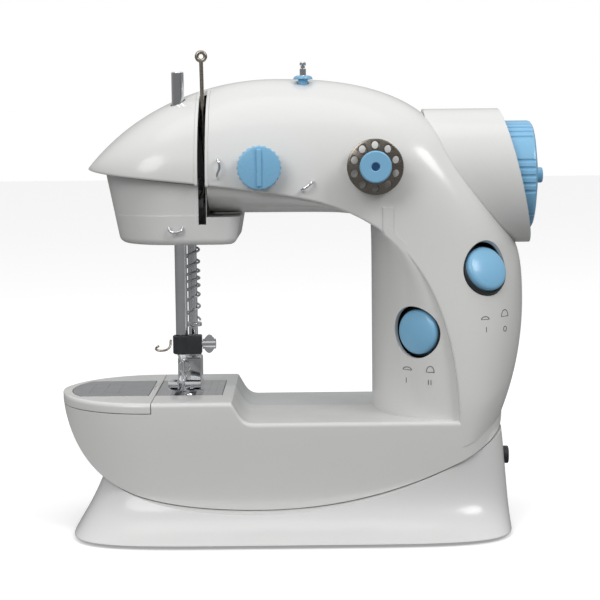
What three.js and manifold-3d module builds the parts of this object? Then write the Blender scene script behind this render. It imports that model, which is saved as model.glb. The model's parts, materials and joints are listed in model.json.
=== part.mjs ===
// Portable two-speed sewing machine: a hollow C-shaped body on a flared base.
// Units are millimetres. +X runs towards the handwheel, -Y faces the user and
// +Z is up. The origin is on the ground, in the middle of the footprint.

import * as THREE from 'three';
import { ParametricGeometry } from 'three/addons/geometries/ParametricGeometry.js';
import { mergeVertices } from 'three/addons/utils/BufferGeometryUtils.js';
import Module from 'manifold-3d';

const wasm = await Module();
wasm.setup();

// ---------------------------------------------------------------- driving sizes

const wall = 2.0;            // moulded casing wall
const gap = 0.3;             // clearance between fixed neighbours
const slip = 0.25;           // radial clearance of a turning or sliding fit
const seamY = 4;             // plane where front and rear casings meet

const deckZ = 55.5;          // upper, sewing part of the bed
const lowDeckZ = 47;         // lower part of the bed, beside the column
const bedHalfDepth = 40;     // half the depth of the bed
const bowLength = 38;        // length of the rounded left end of the bed
const bedTipX = -100;        // left tip of the bed
const bedRightX = 83.1;      // right end of the bed casing
const sternLength = 21.1;    // length of the rounded right end of the bed
const bedLean = 0.15;        // how much narrower the hull is at its keel
const keelZ = 11;            // lowest point of the hull
const stepX = -28.5;         // where the upper deck starts to step down

const armFrontY = -36;       // front face of the raised band on the arm
const columnFrontY = -40;    // front face of the raised band beside the bed
const armRearY = 37;         // rear face of the arm
const columnRearY = 40;      // rear face of the column
const bellyStep = 3;         // how far the inner body sits behind the raised band
const throatTopZ = 128.7;    // underside of the arm
const throatRightX = 29.3;   // inner face of the column
const throatCorner = 5;      // fillet between arm and column
const bellyLeftX = -37;      // where the inner body meets the head housing

const headLeftX = -81;       // head housing, top left
const headRightX = -24;      // head housing, right side
const headBottomZ = 117.4;   // underside of the head housing
const headFrontY = -32;      // front face of the head housing
const headRearY = 30;        // rear face of the head housing

const baseFootZ = 1.5;       // lower edge of the base skirt
const baseTopZ = 42;         // highest point of the base skirt
const baseLeftX = bedTipX + 6.5;   // base skirt, left edge at the bottom
const baseRightX = 84.5;     // base skirt, right edge at the bottom
const baseHalfDepth = 54;    // base skirt, half depth at the bottom
const basePlateThickness = 2.5;
const footRadius = 5;
const footX = [baseLeftX + 23.5, baseRightX - 24.5];
const footY = [13 - baseHalfDepth, baseHalfDepth - 13];

const shaftZ = 143;          // main shaft height, on the Y = 0 plane
const shaftRadius = 3;
const wheelRadius = 22.5;    // handwheel
const wheelInnerX = 77;      // left end of the handwheel
const wheelRimX = 94.8;      // right edge of the handwheel rim
const wheelFaceX = 97;       // crown of the handwheel face
const knobEndX = 100;        // right end of the boss on the handwheel
const knobRadius = 3.2;
const grooveGroups = 6;      // groups of grip grooves around the rim
const hoodRadius = wheelRadius + 5.1;   // wheel housing, outside
const hoodLeftX = 50;        // where the wheel housing leaves the arm
const hoodTopX = 81;         // right edge of the wheel housing at its top
const hoodLowX = 93.4;       // right edge of the wheel housing at its bottom

const barX = -49.5;          // needle bar axis
const barY = -10;
const barRadius = 2.5;
const barTopZ = 186.4;
const barLowZ = 70.5;
const crankRadius = 11;      // half the stroke of the needle bar
const crankX = [-37.6, -33.6];
const restDrop = 8;          // needle bar rest position below mid stroke
const needleRadius = 0.6;
const needleTipZ = 50;

const presserX = -45.6;      // presser bar axis, behind the needle bar
const presserY = 1.5;
const presserRadius = 1.9;
const presserTopZ = 162;
const soleZ = 56.9;          // underside of the presser foot
const springLowZ = 84;
const springRadius = 2.9;    // centre line of the spring wire
const springWire = 0.45;
const springTurns = 8;

const slotX = -39;           // take-up lever slot
const slotHalfWidth = 1.5;
const slotLowZ = 125.5;
const slotRearY = -5;
const leverY = -17;
const leverTopZ = 194.5;
const leverWire = 0.8;

const dialX = -16.1;         // tension dial and front bobbin share one height
const dialZ = 147.8;
const dialRadius = 8.75;
const dialThickness = 6.5;
const dialRibs = 24;
const bobbinX = 28.8;
const bobbinRadius = 10.8;
const bobbinWidth = 9;
const bobbinHoles = 10;
const bobbinBore = 3;
const frontHubRadius = 6.2;

const spoolX = 1.3;          // spool pin
const spoolY = -8;
const spoolRadius = 1.3;
const spoolTopZ = 190;
const spoolLowZ = 152;

const buttonRadius = 9;
const bezelRadius = buttonRadius + 1.2;
const buttonTravel = 2.5;
const powerCentre = new THREE.Vector3(72.6, -31.2, 106.5);
const powerNormal = new THREE.Vector3(0.47, -0.79, 0.39).normalize();
const speedCentre = new THREE.Vector3(46.8, -29.2, 81.8);
const speedNormal = new THREE.Vector3(-0.65, -0.76, 0).normalize();

const plateX = [-60, -33];   // needle plate
const plateHalfDepth = 20;
const plateThickness = 1.2;
const coverRightX = -60;     // bobbin cover: everything left of this line
const coverThickness = 4;

const hookX = [-62, -52.5];  // rotary hook
const hookY = -10;
const hookZ = 37;
const hookRadius = 11.5;
const lowerShaftRadius = 2.5;

const timingX = [39, 43];    // toothed belt to the lower shaft
const timingRadius = 9;
const driveX = [53, 57];     // belt from the motor
const driveRadius = 14;
const motorPulleyRadius = 4;
const motorX = [20, 48];
const motorY = 14;
const motorZ = 36;
const motorRadius = 8.5;
const beltThickness = 1.2;

const batteryX = [-44, 18];  // battery box for four round cells side by side
const batteryHalfDepth = 29;
const batteryTopZ = 20;
const doorX = [-40, 14];
const doorHalfDepth = 22;

const lifterX = -57.5;       // presser lifter pivot, behind the head
const lifterZ = 127;
const lifterLength = 15;
const ankleTopZ = 69;        // top of the presser foot's ankle
const collarZ = [130, 133];  // collar that the lifter raises
const clampRightX = -41.4;   // right side of the needle clamp

const frameY = [16, 19];     // back plate of the arm frame
const leftPostX = [-24, -18];
const rightPostX = [30, 36];
const bushRadius = 5;
const highLugZ = [158, 163]; // guides for the needle bar and presser bar
const lowLugZ = [120.5, 124.5];
const crankPinRadius = 1.5;
const bedPostX = [[-38, -34], [12, 16]];
const feedY = [-4, 8];       // feed dog, behind the needle

const jackY = -16;           // power inlet in the right side of the base
const jackZ = 29;
const jackRadius = 3.6;

// -------------------------------------------------------------------- materials

const finish = (color, roughness, metalness) =>
  new THREE.MeshStandardMaterial({ color, roughness, metalness });
const plastic = (color, roughness = 0.35) => finish(color, roughness, 0);
const metal = (color, roughness = 0.25) => finish(color, roughness, 1);

const whites = { casing: 0xe8e8e6, head: 0xd6d6d4, base: 0xdcdcda };
const blue = 0x9cc9e6;

// ---------------------------------------------------------------- solid helpers

// Merge a geometry's vertices, drop collapsed triangles and make it a solid.
function toSolid(geometry) {
  const plain = geometry.index ? geometry.toNonIndexed() : geometry.clone();
  plain.deleteAttribute('normal');
  plain.deleteAttribute('uv');
  const merged = mergeVertices(plain, 1e-3);
  const corners = merged.index.array;
  const kept = [];
  for (let i = 0; i < corners.length; i += 3) {
    const [a, b, c] = [corners[i], corners[i + 1], corners[i + 2]];
    if (a !== b && b !== c && c !== a) kept.push(a, b, c);
  }
  const mesh = new wasm.Mesh({
    numProp: 3,
    vertProperties: new Float32Array(merged.attributes.position.array),
    triVerts: new Uint32Array(kept),
  });
  return new wasm.Manifold(mesh);
}

function toGeometry(solid) {
  const mesh = solid.getMesh();
  const geometry = new THREE.BufferGeometry();
  geometry.setAttribute('position', new THREE.BufferAttribute(mesh.vertProperties, 3));
  geometry.setIndex(new THREE.BufferAttribute(mesh.triVerts, 1));
  geometry.computeVertexNormals();
  return geometry;
}

const join = (...solids) => solids.reduce((sum, solid) => sum.add(solid));
const cut = (solid, ...tools) => tools.reduce((rest, tool) => rest.subtract(tool), solid);

function block(x, y, z) {
  const geometry = new THREE.BoxGeometry(x[1] - x[0], y[1] - y[0], z[1] - z[0]);
  geometry.translate((x[0] + x[1]) / 2, (y[0] + y[1]) / 2, (z[0] + z[1]) / 2);
  return toSolid(geometry);
}

// A round bar between two points; the second radius makes it a cone.
function bar(from, to, radius, sides = 20, endRadius = radius) {
  const start = new THREE.Vector3(...from);
  const end = new THREE.Vector3(...to);
  const axis = end.clone().sub(start);
  const geometry = new THREE.CylinderGeometry(endRadius, radius, axis.length(), sides);
  geometry.applyQuaternion(new THREE.Quaternion().setFromUnitVectors(
    new THREE.Vector3(0, 1, 0), axis.clone().normalize()));
  geometry.translate(...start.add(end).multiplyScalar(0.5).toArray());
  return toSolid(geometry);
}

// A turned solid about a line through `origin` along `axis`; the profile is
// a list of [radius, distance along the axis] pairs.
function turned(profile, origin, axis, sides = 24) {
  const points = profile.map(([radius, along]) => new THREE.Vector2(radius, along));
  const geometry = new THREE.LatheGeometry(points, sides);
  geometry.applyQuaternion(new THREE.Quaternion().setFromUnitVectors(
    new THREE.Vector3(0, 1, 0), axis.clone().normalize()));
  geometry.translate(...origin);
  return toSolid(geometry);
}

// Outlines drawn in X and Z, pushed along Y.
function frontPrism(shape, y, curveSegments = 12) {
  const geometry = new THREE.ExtrudeGeometry(shape, {
    depth: y[1] - y[0], bevelEnabled: false, curveSegments,
  });
  geometry.rotateX(Math.PI / 2);
  geometry.translate(0, y[1], 0);
  return toSolid(geometry);
}

// Outlines drawn in X and Y, pushed along Z.
function planPrism(shape, z, curveSegments = 12) {
  const geometry = new THREE.ExtrudeGeometry(shape, {
    depth: z[1] - z[0], bevelEnabled: false, curveSegments,
  });
  geometry.translate(0, 0, z[0]);
  return toSolid(geometry);
}

// A wire of round section along a curve.
function wire(points, radius, steps, sides = 8, closed = false) {
  const path = Array.isArray(points)
    ? new THREE.CatmullRomCurve3(points.map((p) => new THREE.Vector3(...p)), closed)
    : points;
  const section = new THREE.Shape().absarc(0, 0, radius, 0, 2 * Math.PI);
  const geometry = new THREE.ExtrudeGeometry(section, {
    steps, curveSegments: sides / 2, extrudePath: path,
  });
  return toSolid(geometry);
}

// A solid skinned over rings: ringPoint(along, around) gives a point, both
// arguments running from 0 to 1; the two end rings are closed by flat caps.
function skinned(ringPoint, rings, sides) {
  const capped = (around, along, target) => {
    const ring = Math.round(along * (rings + 2)) - 1;
    if (ring < 0 || ring > rings) {
      const end = ring < 0 ? 0 : 1;
      const middle = new THREE.Vector3();
      for (let i = 0; i < sides; i += 1) {
        middle.add(ringPoint(end, i / sides));
      }
      target.copy(middle.divideScalar(sides));
    } else {
      target.copy(ringPoint(ring / rings, (Math.round(around * sides) % sides) / sides));
    }
  };
  const solid = toSolid(new ParametricGeometry(capped, sides, rings + 2));
  if (solid.volume() > 0) return solid;
  const flipped = (around, along, target) => capped(1 - around, along, target);
  return toSolid(new ParametricGeometry(flipped, sides, rings + 2));
}

const machine = new THREE.Group();

function addPiece(name, solid, material) {
  const mesh = new THREE.Mesh(toGeometry(solid), material);
  mesh.name = name;
  machine.add(mesh);
}

// ------------------------------------------------------------------ body outline

const v2 = (x, z) => new THREE.Vector2(x, z);
const bezier = (a, b, c, d) => new THREE.CubicBezierCurve(a, b, c, d);

// Outer edge of the raised band, from the tip of the arm over the top and
// down the right side, in five equal steps of the band parameter.
const bandOuter = [
  bezier(v2(-87.5, 147.5), v2(-68, 173), v2(-36, 184.5), v2(-7, 183.5)),
  bezier(v2(-7, 183.5), v2(22, 183.5), v2(46, 177.5), v2(58, 160.5)),
  bezier(v2(58, 160.5), v2(69, 143), v2(78, 129), v2(85, 121)),
  bezier(v2(85, 121), v2(90.5, 115.5), v2(91.8, 107), v2(91.8, 92)),
  bezier(v2(91.8, 92), v2(91.8, 72), v2(87, 56), v2(81.5, 43.5)),
];
const bandInner = [
  bezier(v2(-87.5, 147.5), v2(-78, 144), v2(-40, 142.5), v2(-4, 136.2)),
  bezier(v2(-4, 136.2), v2(34, 130), v2(60, 107), v2(62, lowDeckZ)),
];
const innerBandEndZ = 36;

function outerAt(t) {
  const piece = Math.min(4, Math.floor(t * 5));
  return bandOuter[piece].getPoint(t * 5 - piece);
}

function innerAt(t) {
  if (t <= 0.2) return bandInner[0].getPoint(t * 5);
  if (t <= 0.9) return bandInner[1].getPoint((t - 0.2) / 0.7);
  return v2(62, THREE.MathUtils.lerp(lowDeckZ, innerBandEndZ, (t - 0.9) / 0.1));
}

// Height of the band's inner edge above a place on the arm, and its X beside
// a height on the column, found by halving.
function halve(valueAt, low, high) {
  let [a, b] = [low, high];
  for (let i = 0; i < 30; i += 1) {
    const middle = (a + b) / 2;
    if (valueAt(middle) < 0) a = middle;
    else b = middle;
  }
  return (a + b) / 2;
}
const innerZ = (x) => innerAt(halve((t) => innerAt(t).x - x, 0, 0.9)).y;
const innerX = (z) => innerAt(halve((t) => z - innerAt(t).y, 0.2, 1)).x;

// How much of the full depth is left near the rounded tip of the arm.
function tipFade(x) {
  const start = -52;
  const length = 36;
  const beyond = Math.min(0.985, Math.max(0, (start - x) / length));
  return Math.sqrt(1 - beyond * beyond);
}

// The section of the band is a quarter of a rounded square, squarer where it
// passes in front of the wheel housing.
const squareness = (t) => 2 + 2.2 * Math.exp(-(((t - 0.47) / 0.13) ** 2));

function bandDepth(t, side) {
  const [arm, column] = side < 0 ? [armFrontY, columnFrontY] : [armRearY, columnRearY];
  const face = THREE.MathUtils.lerp(arm, column, THREE.MathUtils.smoothstep(t, 0.4, 0.9));
  return Math.abs(face - seamY) * tipFade((outerAt(t).x + innerAt(t).x) / 2);
}

const pastSeam = 3;

// Share of its full depth that the body keeps at a height: below the deck the
// sides lean in towards the keel.
function leanAt(z) {
  const sink = THREE.MathUtils.clamp((deckZ - z) / (deckZ - keelZ), 0, 1);
  return 1 - bedLean * sink ** 1.5;
}

// One half of the band, front (side -1) or rear (side +1), which runs on
// past the seam until it is cut there; `inset` shrinks it to the cavity.
function bandHalf(side, inset) {
  const arcSteps = 6;
  const start = inset > 0 ? 0.05 : 0.004;
  return skinned((along, around) => {
    const t = THREE.MathUtils.lerp(start, 1, along);
    const outer = outerAt(t);
    const inner = innerAt(t);
    const across = outer.clone().sub(inner);
    const width = Math.max(across.length(), 0.5);
    across.normalize();
    const depth = Math.max(bandDepth(t, side) - inset, 0.6);
    const corner = Math.round(around * (arcSteps + 2));
    const turn = Math.min(corner / arcSteps, 1) * Math.PI / 2;
    const power = 2 / squareness(t);
    const usable = Math.max(width - 2 * inset, 0.4);
    const reach = inset + (corner > arcSteps ? 0 : Math.cos(turn) ** power * usable);
    const behind = corner === 0 || corner > arcSteps;
    const out = behind ? -pastSeam : depth * Math.sin(turn) ** power;
    const place = inner.clone().addScaledVector(across, corner === 0 ? inset + usable : reach);
    const y = seamY + side * out;
    return new THREE.Vector3(place.x, y * leanAt(place.y), place.y);
  }, 22, arcSteps + 2);
}

// The inner body under the arm and beside the column: quarter-round sections
// that start on the throat edge and rise to just behind the raised band.
function bellyHalf(side, inset) {
  const arcSteps = 5;
  const tuck = 4;
  const depthAt = (t) => bandDepth(t, side) - bellyStep - inset;
  const quarter = (around, edge, far, depth) => {
    const corner = Math.round(around * (arcSteps + 2));
    const turn = Math.min(corner / arcSteps, 1) * Math.PI / 2;
    if (corner > arcSteps) return [far, -pastSeam];
    if (corner === arcSteps) return [far, depth];
    const out = corner === 0 ? -pastSeam : depth * Math.sin(turn);
    return [edge + (far - tuck - edge) * (1 - Math.cos(turn)), out];
  };
  const underArm = skinned((along, around) => {
    const x = THREE.MathUtils.lerp(bellyLeftX + inset, 44, along);
    const far = Math.max(innerZ(Math.min(x, 40)), throatTopZ + 1) + tuck;
    const [z, out] = quarter(around, throatTopZ + inset, far, depthAt(0.3));
    return new THREE.Vector3(x, seamY + side * out, z);
  }, 8, arcSteps + 2);
  const besideColumn = skinned((along, around) => {
    const z = THREE.MathUtils.lerp(lowDeckZ - 1 - inset, throatTopZ + 3, along);
    const far = Math.max(innerX(z), throatRightX + 3) + tuck;
    const [x, out] = quarter(around, throatRightX + inset, far, depthAt(0.8));
    return new THREE.Vector3(x, seamY + side * out, z);
  }, 9, arcSteps + 2);
  return join(underArm, besideColumn);
}

// ----------------------------------------------------------------- bed and base

// Lower edge of the hull, seen from the front.
const hullLower = [
  bezier(v2(bedTipX, deckZ), v2(bedTipX + 9, 25), v2(bedTipX + 28, keelZ), v2(-17, keelZ)),
  bezier(v2(-17, keelZ), v2(20, keelZ), v2(52, 22), v2(80.5, 41)),
  bezier(v2(80.5, 41), v2(81.4, 43), v2(82.2, 45), v2(bedRightX, lowDeckZ)),
];
const deckStep = bezier(v2(stepX, deckZ), v2(-25.5, 50.5), v2(-24.5, lowDeckZ), v2(-19.5, lowDeckZ));

function heightOn(curve, x) {
  return curve.getPoint(halve((t) => curve.getPoint(t).x - x, 0, 1)).y;
}

function keelAt(x) {
  const piece = hullLower.find((curve) => x <= curve.v3.x) ?? hullLower[2];
  return heightOn(piece, x);
}

function deckAt(x) {
  if (x <= stepX) return deckZ;
  return x >= deckStep.v3.x ? lowDeckZ : heightOn(deckStep, x);
}

// Everything above the hull's lower edge, over the full depth; `grow` lowers
// the edge, so that a neighbour cut by it keeps its clearance.
function aboveKeel(grow) {
  const moved = ({ x, y }) => [x + grow * Math.sign(x), y - grow];
  const shape = new THREE.Shape();
  shape.moveTo(bedTipX - grow, deckZ);
  for (const { v1, v2: handle, v3 } of hullLower.slice(0, 2)) {
    shape.bezierCurveTo(...moved(v1), ...moved(handle), ...moved(v3));
  }
  shape.lineTo(bedRightX + grow, lowDeckZ);
  shape.closePath();
  return frontPrism(shape, [-60, 60], 10);
}

// Half depth of the hull at deck height; the stern is rounded about the seam.
function beamAt(x, side, inset) {
  const full = bedHalfDepth - inset;
  const bowX = bedTipX + bowLength;
  const sternX = bedRightX - sternLength;
  if (x < bowX) {
    const share = Math.min(1, (bowX - x) / (bowLength - inset));
    return side * full * Math.sqrt(1 - share * share);
  }
  if (x <= sternX) return side * full;
  const share = Math.min(1, (x - sternX) / (sternLength - inset));
  return seamY + side * (full - side * seamY) * Math.sqrt(1 - share * share);
}

// The hull as one solid, skinned over sections across the machine. With an
// inset it is the cavity, which runs on below the keel so that it is open.
function bedSolid(inset) {
  const left = bedTipX + 0.05 + 1.2 * inset;
  const right = bedRightX - 0.05 - inset;
  const bowX = bedTipX + bowLength;
  const sternX = bedRightX - sternLength;
  const places = [0, 0.03, 0.12, 0.27, 0.5, 0.75].map((t) => left + (bowX - left) * t);
  places.push(bowX, stepX, -26.8, -25.4, -23.6, -19.5, 4, 24, 45, sternX);
  places.push(...[0.35, 0.62, 0.82, 0.94, 1].map((t) => sternX + (right - sternX) * t));
  const sides = 3;
  return skinned((along, around) => {
    const x = places[Math.round(along * (places.length - 1))];
    const top = deckAt(x) - inset;
    const low = Math.min(keelAt(x) - (inset > 0 ? 6 : 0), top - 0.02);
    const corner = Math.round(around * (2 * sides + 2));
    const side = corner <= sides ? -1 : 1;
    const down = (side < 0 ? corner : 2 * sides + 1 - corner) / sides;
    const z = top - (top - low) * down;
    return new THREE.Vector3(x, beamAt(x, side, inset) * leanAt(z), z);
  }, places.length - 1, 2 * sides + 2);
}

const half = (side) => block([-200, 200], side < 0 ? [-90, seamY] : [seamY + gap, 90], [-5, 260]);

// ------------------------------------------------------- cuts shared by casings

const yAxis = new THREE.Vector3(0, -1, 0);
const xAxis = new THREE.Vector3(1, 0, 0);

// A round pocket along a button's push direction.
function along(centre, normal, radius, from, to, sides = 24) {
  const start = centre.clone().addScaledVector(normal, from).toArray();
  const end = centre.clone().addScaledVector(normal, to).toArray();
  return bar(start, end, radius, sides);
}

const hoodSolid = (inset, from = hoodLeftX) => bar(
  [from, 0, shaftZ], [hoodLowX + 6, 0, shaftZ], hoodRadius - inset, 32);

const slotCut = block(
  [slotX - slotHalfWidth, slotX + slotHalfWidth], [-60, slotRearY], [slotLowZ, 200]);

const coverPocket = block([bedTipX - 5, coverRightX], [-60, 60], [deckZ - coverThickness - gap, deckZ + 5]);
const platePocket = block(
  [plateX[0] - 0.1, plateX[1] + gap],
  [-plateHalfDepth - gap, plateHalfDepth + gap],
  [deckZ - plateThickness - gap, deckZ + 5]);
const plateWindow = block(
  [plateX[0] + 2, plateX[1] - 3], [-plateHalfDepth + 3, plateHalfDepth - 3], [30, 70]);

const headMouth = block([headLeftX + 12, headRightX - 6], [headFrontY + 5, headRearY - 5], [120, 150]);

function throatFillet(side) {
  const y = side < 0 ? [-10, seamY] : [seamY, 14];
  const corner = block(
    [throatRightX - throatCorner, throatRightX + 1.5], y,
    [throatTopZ - throatCorner, throatTopZ + 1.5]);
  const round = bar(
    [throatRightX - throatCorner, y[0] - 1, throatTopZ - throatCorner],
    [throatRightX - throatCorner, y[1] + 1, throatTopZ - throatCorner], throatCorner, 24);
  return corner.subtract(round);
}

function casingHalf(side) {
  const outside = join(bandHalf(side, 0), bellyHalf(side, 0), bedSolid(0), throatFillet(side))
    .intersect(half(side));
  const hollow = join(bandHalf(side, wall), bellyHalf(side, wall), bedSolid(wall));
  return cut(outside, hollow, hoodSolid(-gap), headMouth, coverPocket, platePocket, plateWindow);
}

// ------------------------------------------------------------------ the casings

const powerPocket = along(powerCentre, powerNormal, bezelRadius + gap, -10, 20);
const speedPocket = along(speedCentre, speedNormal, bezelRadius + gap, -10, 20);
const dialPocket = bar([dialX, -60, dialZ], [dialX, -20, dialZ], 1.9, 16);
const bobbinPocket = bar([bobbinX, -60, dialZ], [bobbinX, -20, dialZ], 2.4, 16);
const spoolPocket = bar([spoolX, spoolY, 165], [spoolX, spoolY, 200], 2.3, 16);
const barPocket = bar([barX, barY, 160], [barX, barY, 200], barRadius + 0.6, 20);
const jackPocket = bar([70, jackY, jackZ], [100, jackY, jackZ], jackRadius + gap, 20);

function makeShells() {
  const front = cut(
    casingHalf(-1), slotCut, powerPocket, speedPocket, dialPocket, bobbinPocket, spoolPocket, barPocket);
  addPiece('front_shell', front, plastic(whites.casing));
  addPiece('rear_shell', casingHalf(1), plastic(whites.casing));
}

// The head housing hangs under the tip of the arm. Its roof follows the lower
// edge of the band; `open` lifts the roof of the cavity so that it is open.
function headOutline(inset, open) {
  const leftZ = innerZ(headLeftX + 1);
  const stepAtX = bellyLeftX - gap + (open > 0 ? 4 : 0);
  const shape = new THREE.Shape();
  shape.moveTo(headLeftX + 1 + inset, leftZ - gap + open);
  shape.lineTo(stepAtX, innerZ(bellyLeftX) - gap + open);
  shape.lineTo(stepAtX, throatTopZ - gap + open);
  shape.lineTo(headRightX - inset, throatTopZ - gap + open);
  shape.lineTo(headRightX - 2 - inset, headBottomZ + 1.5 + inset);
  shape.lineTo(barX + 3, headBottomZ + inset);
  shape.lineTo(headLeftX + 7 + inset, headBottomZ + inset);
  shape.closePath();
  return shape;
}

function headPlan(inset) {
  const middle = (headFrontY + headRearY) / 2;
  const half = (headRearY - headFrontY) / 2 - inset;
  const bowX = -50;
  const corner = 5;
  const shape = new THREE.Shape();
  const right = headRightX - inset;
  shape.moveTo(bowX, middle - half);
  shape.lineTo(right - corner, middle - half);
  shape.quadraticCurveTo(right, middle - half, right, middle - half + corner);
  shape.lineTo(right, middle + half - corner);
  shape.quadraticCurveTo(right, middle + half, right - corner, middle + half);
  shape.lineTo(bowX, middle + half);
  shape.absellipse(bowX, middle, bowX - headLeftX - inset, half, Math.PI / 2, Math.PI * 1.5);
  return shape;
}

function makeHead() {
  const within = (inset, open) => frontPrism(headOutline(inset, open), [-60, 60])
    .intersect(planPrism(headPlan(inset), [100, 160], 10));
  const outside = within(0, 0);
  const inside = within(wall, 4);
  const barHole = block([barX - 4, presserX + 4.2], [barY - 4, presserY + 4.2], [110, 122]);
  const head = cut(outside, inside, barHole, slotCut, bandHalf(-1, -0.15), bandHalf(1, -0.15));
  const lifterHole = bar([lifterX, 20, lifterZ], [lifterX, 40, lifterZ], 2.4, 16);
  addPiece('head_housing', head.subtract(lifterHole), plastic(whites.head));
}

// The wheel housing is a tube around the shaft whose right end is cut at a slant.
function makeWheelHousing() {
  const slope = (hoodLowX - hoodTopX) / 52;
  const topZ = shaftZ + hoodRadius;
  const edge = (z) => hoodTopX + (topZ - z) * slope;
  const beyond = new THREE.Shape();
  beyond.moveTo(edge(topZ + 10), topZ + 10);
  beyond.lineTo(140, topZ + 10);
  beyond.lineTo(140, topZ - 70);
  beyond.lineTo(edge(topZ - 70), topZ - 70);
  const tube = cut(
    hoodSolid(0, hoodLeftX + gap), hoodSolid(wall, hoodLeftX - 1), frontPrism(beyond, [-60, 60]));
  const beltGap = block([hoodLeftX - 1, driveX[1] + 3], [-17, 17], [shaftZ - 40, shaftZ - 12]);
  addPiece('wheel_housing', tube.subtract(beltGap), plastic(whites.casing));
}

// Plan section of the base at a height: a rounded rectangle that flares
// towards the ground.
function baseRing(z, around, inset) {
  const flare = THREE.MathUtils.clamp((baseTopZ - z) / (baseTopZ - baseFootZ), 0, 1);
  const left = baseLeftX + 16 * (1 - flare ** 1.6) + inset;
  const right = baseRightX - 3.5 * (1 - flare ** 0.8) - inset;
  const depth = baseHalfDepth - 16.5 * (1 - flare ** 5.5) - inset;
  const turn = around * 2 * Math.PI;
  const round = (value) => Math.sign(value) * Math.abs(value) ** 0.38;
  return new THREE.Vector3(
    (left + right) / 2 + (right - left) / 2 * round(Math.cos(turn)), depth * round(Math.sin(turn)), z);
}

const baseSolid = (inset, low, high) => skinned(
  (up, around) => baseRing(THREE.MathUtils.lerp(low, high, up ** 1.7), around, inset), 6, 28);

function makeBase() {
  const roofHole = block(
    [batteryX[0] - 14, rightPostX[1]], [-batteryHalfDepth - 1, batteryHalfDepth + 1], [4, 60]);
  const skirt = cut(
    baseSolid(0, baseFootZ, baseTopZ),
    baseSolid(wall, baseFootZ - 1, baseTopZ + 1).subtract(aboveKeel(gap + wall)),
    aboveKeel(gap), roofHole, jackPocket);
  addPiece('base_skirt', skirt, plastic(whites.base));

  const plateTop = baseFootZ + basePlateThickness;
  const floor = baseSolid(wall + gap, baseFootZ - 1, baseTopZ + 1)
    .intersect(block([-150, 150], [-150, 150], [baseFootZ, plateTop]));
  const doorway = block(
    [doorX[0] - gap, doorX[1] + gap], [-doorHalfDepth - gap, doorHalfDepth + gap], [-5, 10]);
  const footHoles = footX.flatMap((x) => footY.map((y) => bar([x, y, -1], [x, y, 9], 2.3, 10)));
  addPiece('base_plate', cut(floor, doorway, ...footHoles), plastic(whites.base));

  addPiece('battery_door', block(doorX, [-doorHalfDepth, doorHalfDepth], [baseFootZ, plateTop]),
    plastic(whites.base));

  const boxLow = plateTop + gap;
  const box = block(batteryX, [-batteryHalfDepth, batteryHalfDepth], [boxLow, batteryTopZ]);
  const well = block(
    [batteryX[0] + wall, batteryX[1] - wall],
    [-batteryHalfDepth + wall, batteryHalfDepth - wall], [boxLow - 1, batteryTopZ - wall]);
  addPiece('battery_box', box.subtract(well), plastic(0x303234, 0.6));

  footX.forEach((x, i) => footY.forEach((y, j) => {
    const foot = join(
      bar([x, y, 0], [x, y, baseFootZ - gap], footRadius, 16),
      bar([x, y, 0.5], [x, y, plateTop + 0.5], 2, 10));
    addPiece(`foot_${i * 2 + j + 1}`, foot, plastic(0x4a4c4e, 0.8));
  }));
}

// -------------------------------------------------------------- bed fittings

function makeBedFittings() {
  const coverLow = deckZ - coverThickness;
  const lid = bedSolid(0).intersect(
    block([bedTipX - 5, coverRightX - gap], [-60, 60], [coverLow, deckZ + 1]));
  const bow = (inset) => {
    const shape = new THREE.Shape();
    const bowX = bedTipX + bowLength;
    shape.absellipse(bowX, 0, bowLength - inset, bedHalfDepth - inset, Math.PI / 2, Math.PI * 1.5);
    return shape;
  };
  const inlayShape = (grow) => planPrism(
    bow(4 - grow), [deckZ - plateThickness - grow, deckZ + grow], 14).intersect(block(
    [bedTipX, coverRightX - 3 + grow], [-plateHalfDepth - grow, plateHalfDepth + grow], [50, 60]));
  addPiece('bobbin_cover', lid.subtract(inlayShape(gap)), plastic(whites.casing));
  addPiece('cover_plate', inlayShape(0), metal(0xb4b8bc, 0.35));

  const needleHole = bar([barX, barY, 50], [barX, barY, 60], 1.3, 12);
  const rows = [barX - 3, barX + 3];
  const slots = rows.map((x) => block([x - 1.4, x + 1.4], [feedY[0] - 1.6, feedY[1] + 1.6], [50, 60]));
  const plate = block(
    [plateX[0] + 0.2, plateX[1]], [-plateHalfDepth, plateHalfDepth], [deckZ - plateThickness, deckZ]);
  addPiece('needle_plate', cut(plate, needleHole, ...slots), metal(0xc8ccd0));

  const combs = rows.map((x) => block([x - 1.1, x + 1.1], feedY, [50, deckZ + 0.6]));
  const notches = [0, 1, 2, 3, 4].map((i) => {
    const y = feedY[0] + 1.4 + i * 2.4;
    return block([barX - 6, barX + 6], [y, y + 1.1], [deckZ + 0.1, deckZ + 5]);
  });
  const feed = join(block([barX - 4.1, barX + 4.1], feedY, [49.2, 52]), ...combs);
  addPiece('feed_dog', cut(feed, ...notches), metal(0x9a9ea2, 0.4));
}

// --------------------------------------------------------------- drive train

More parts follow.
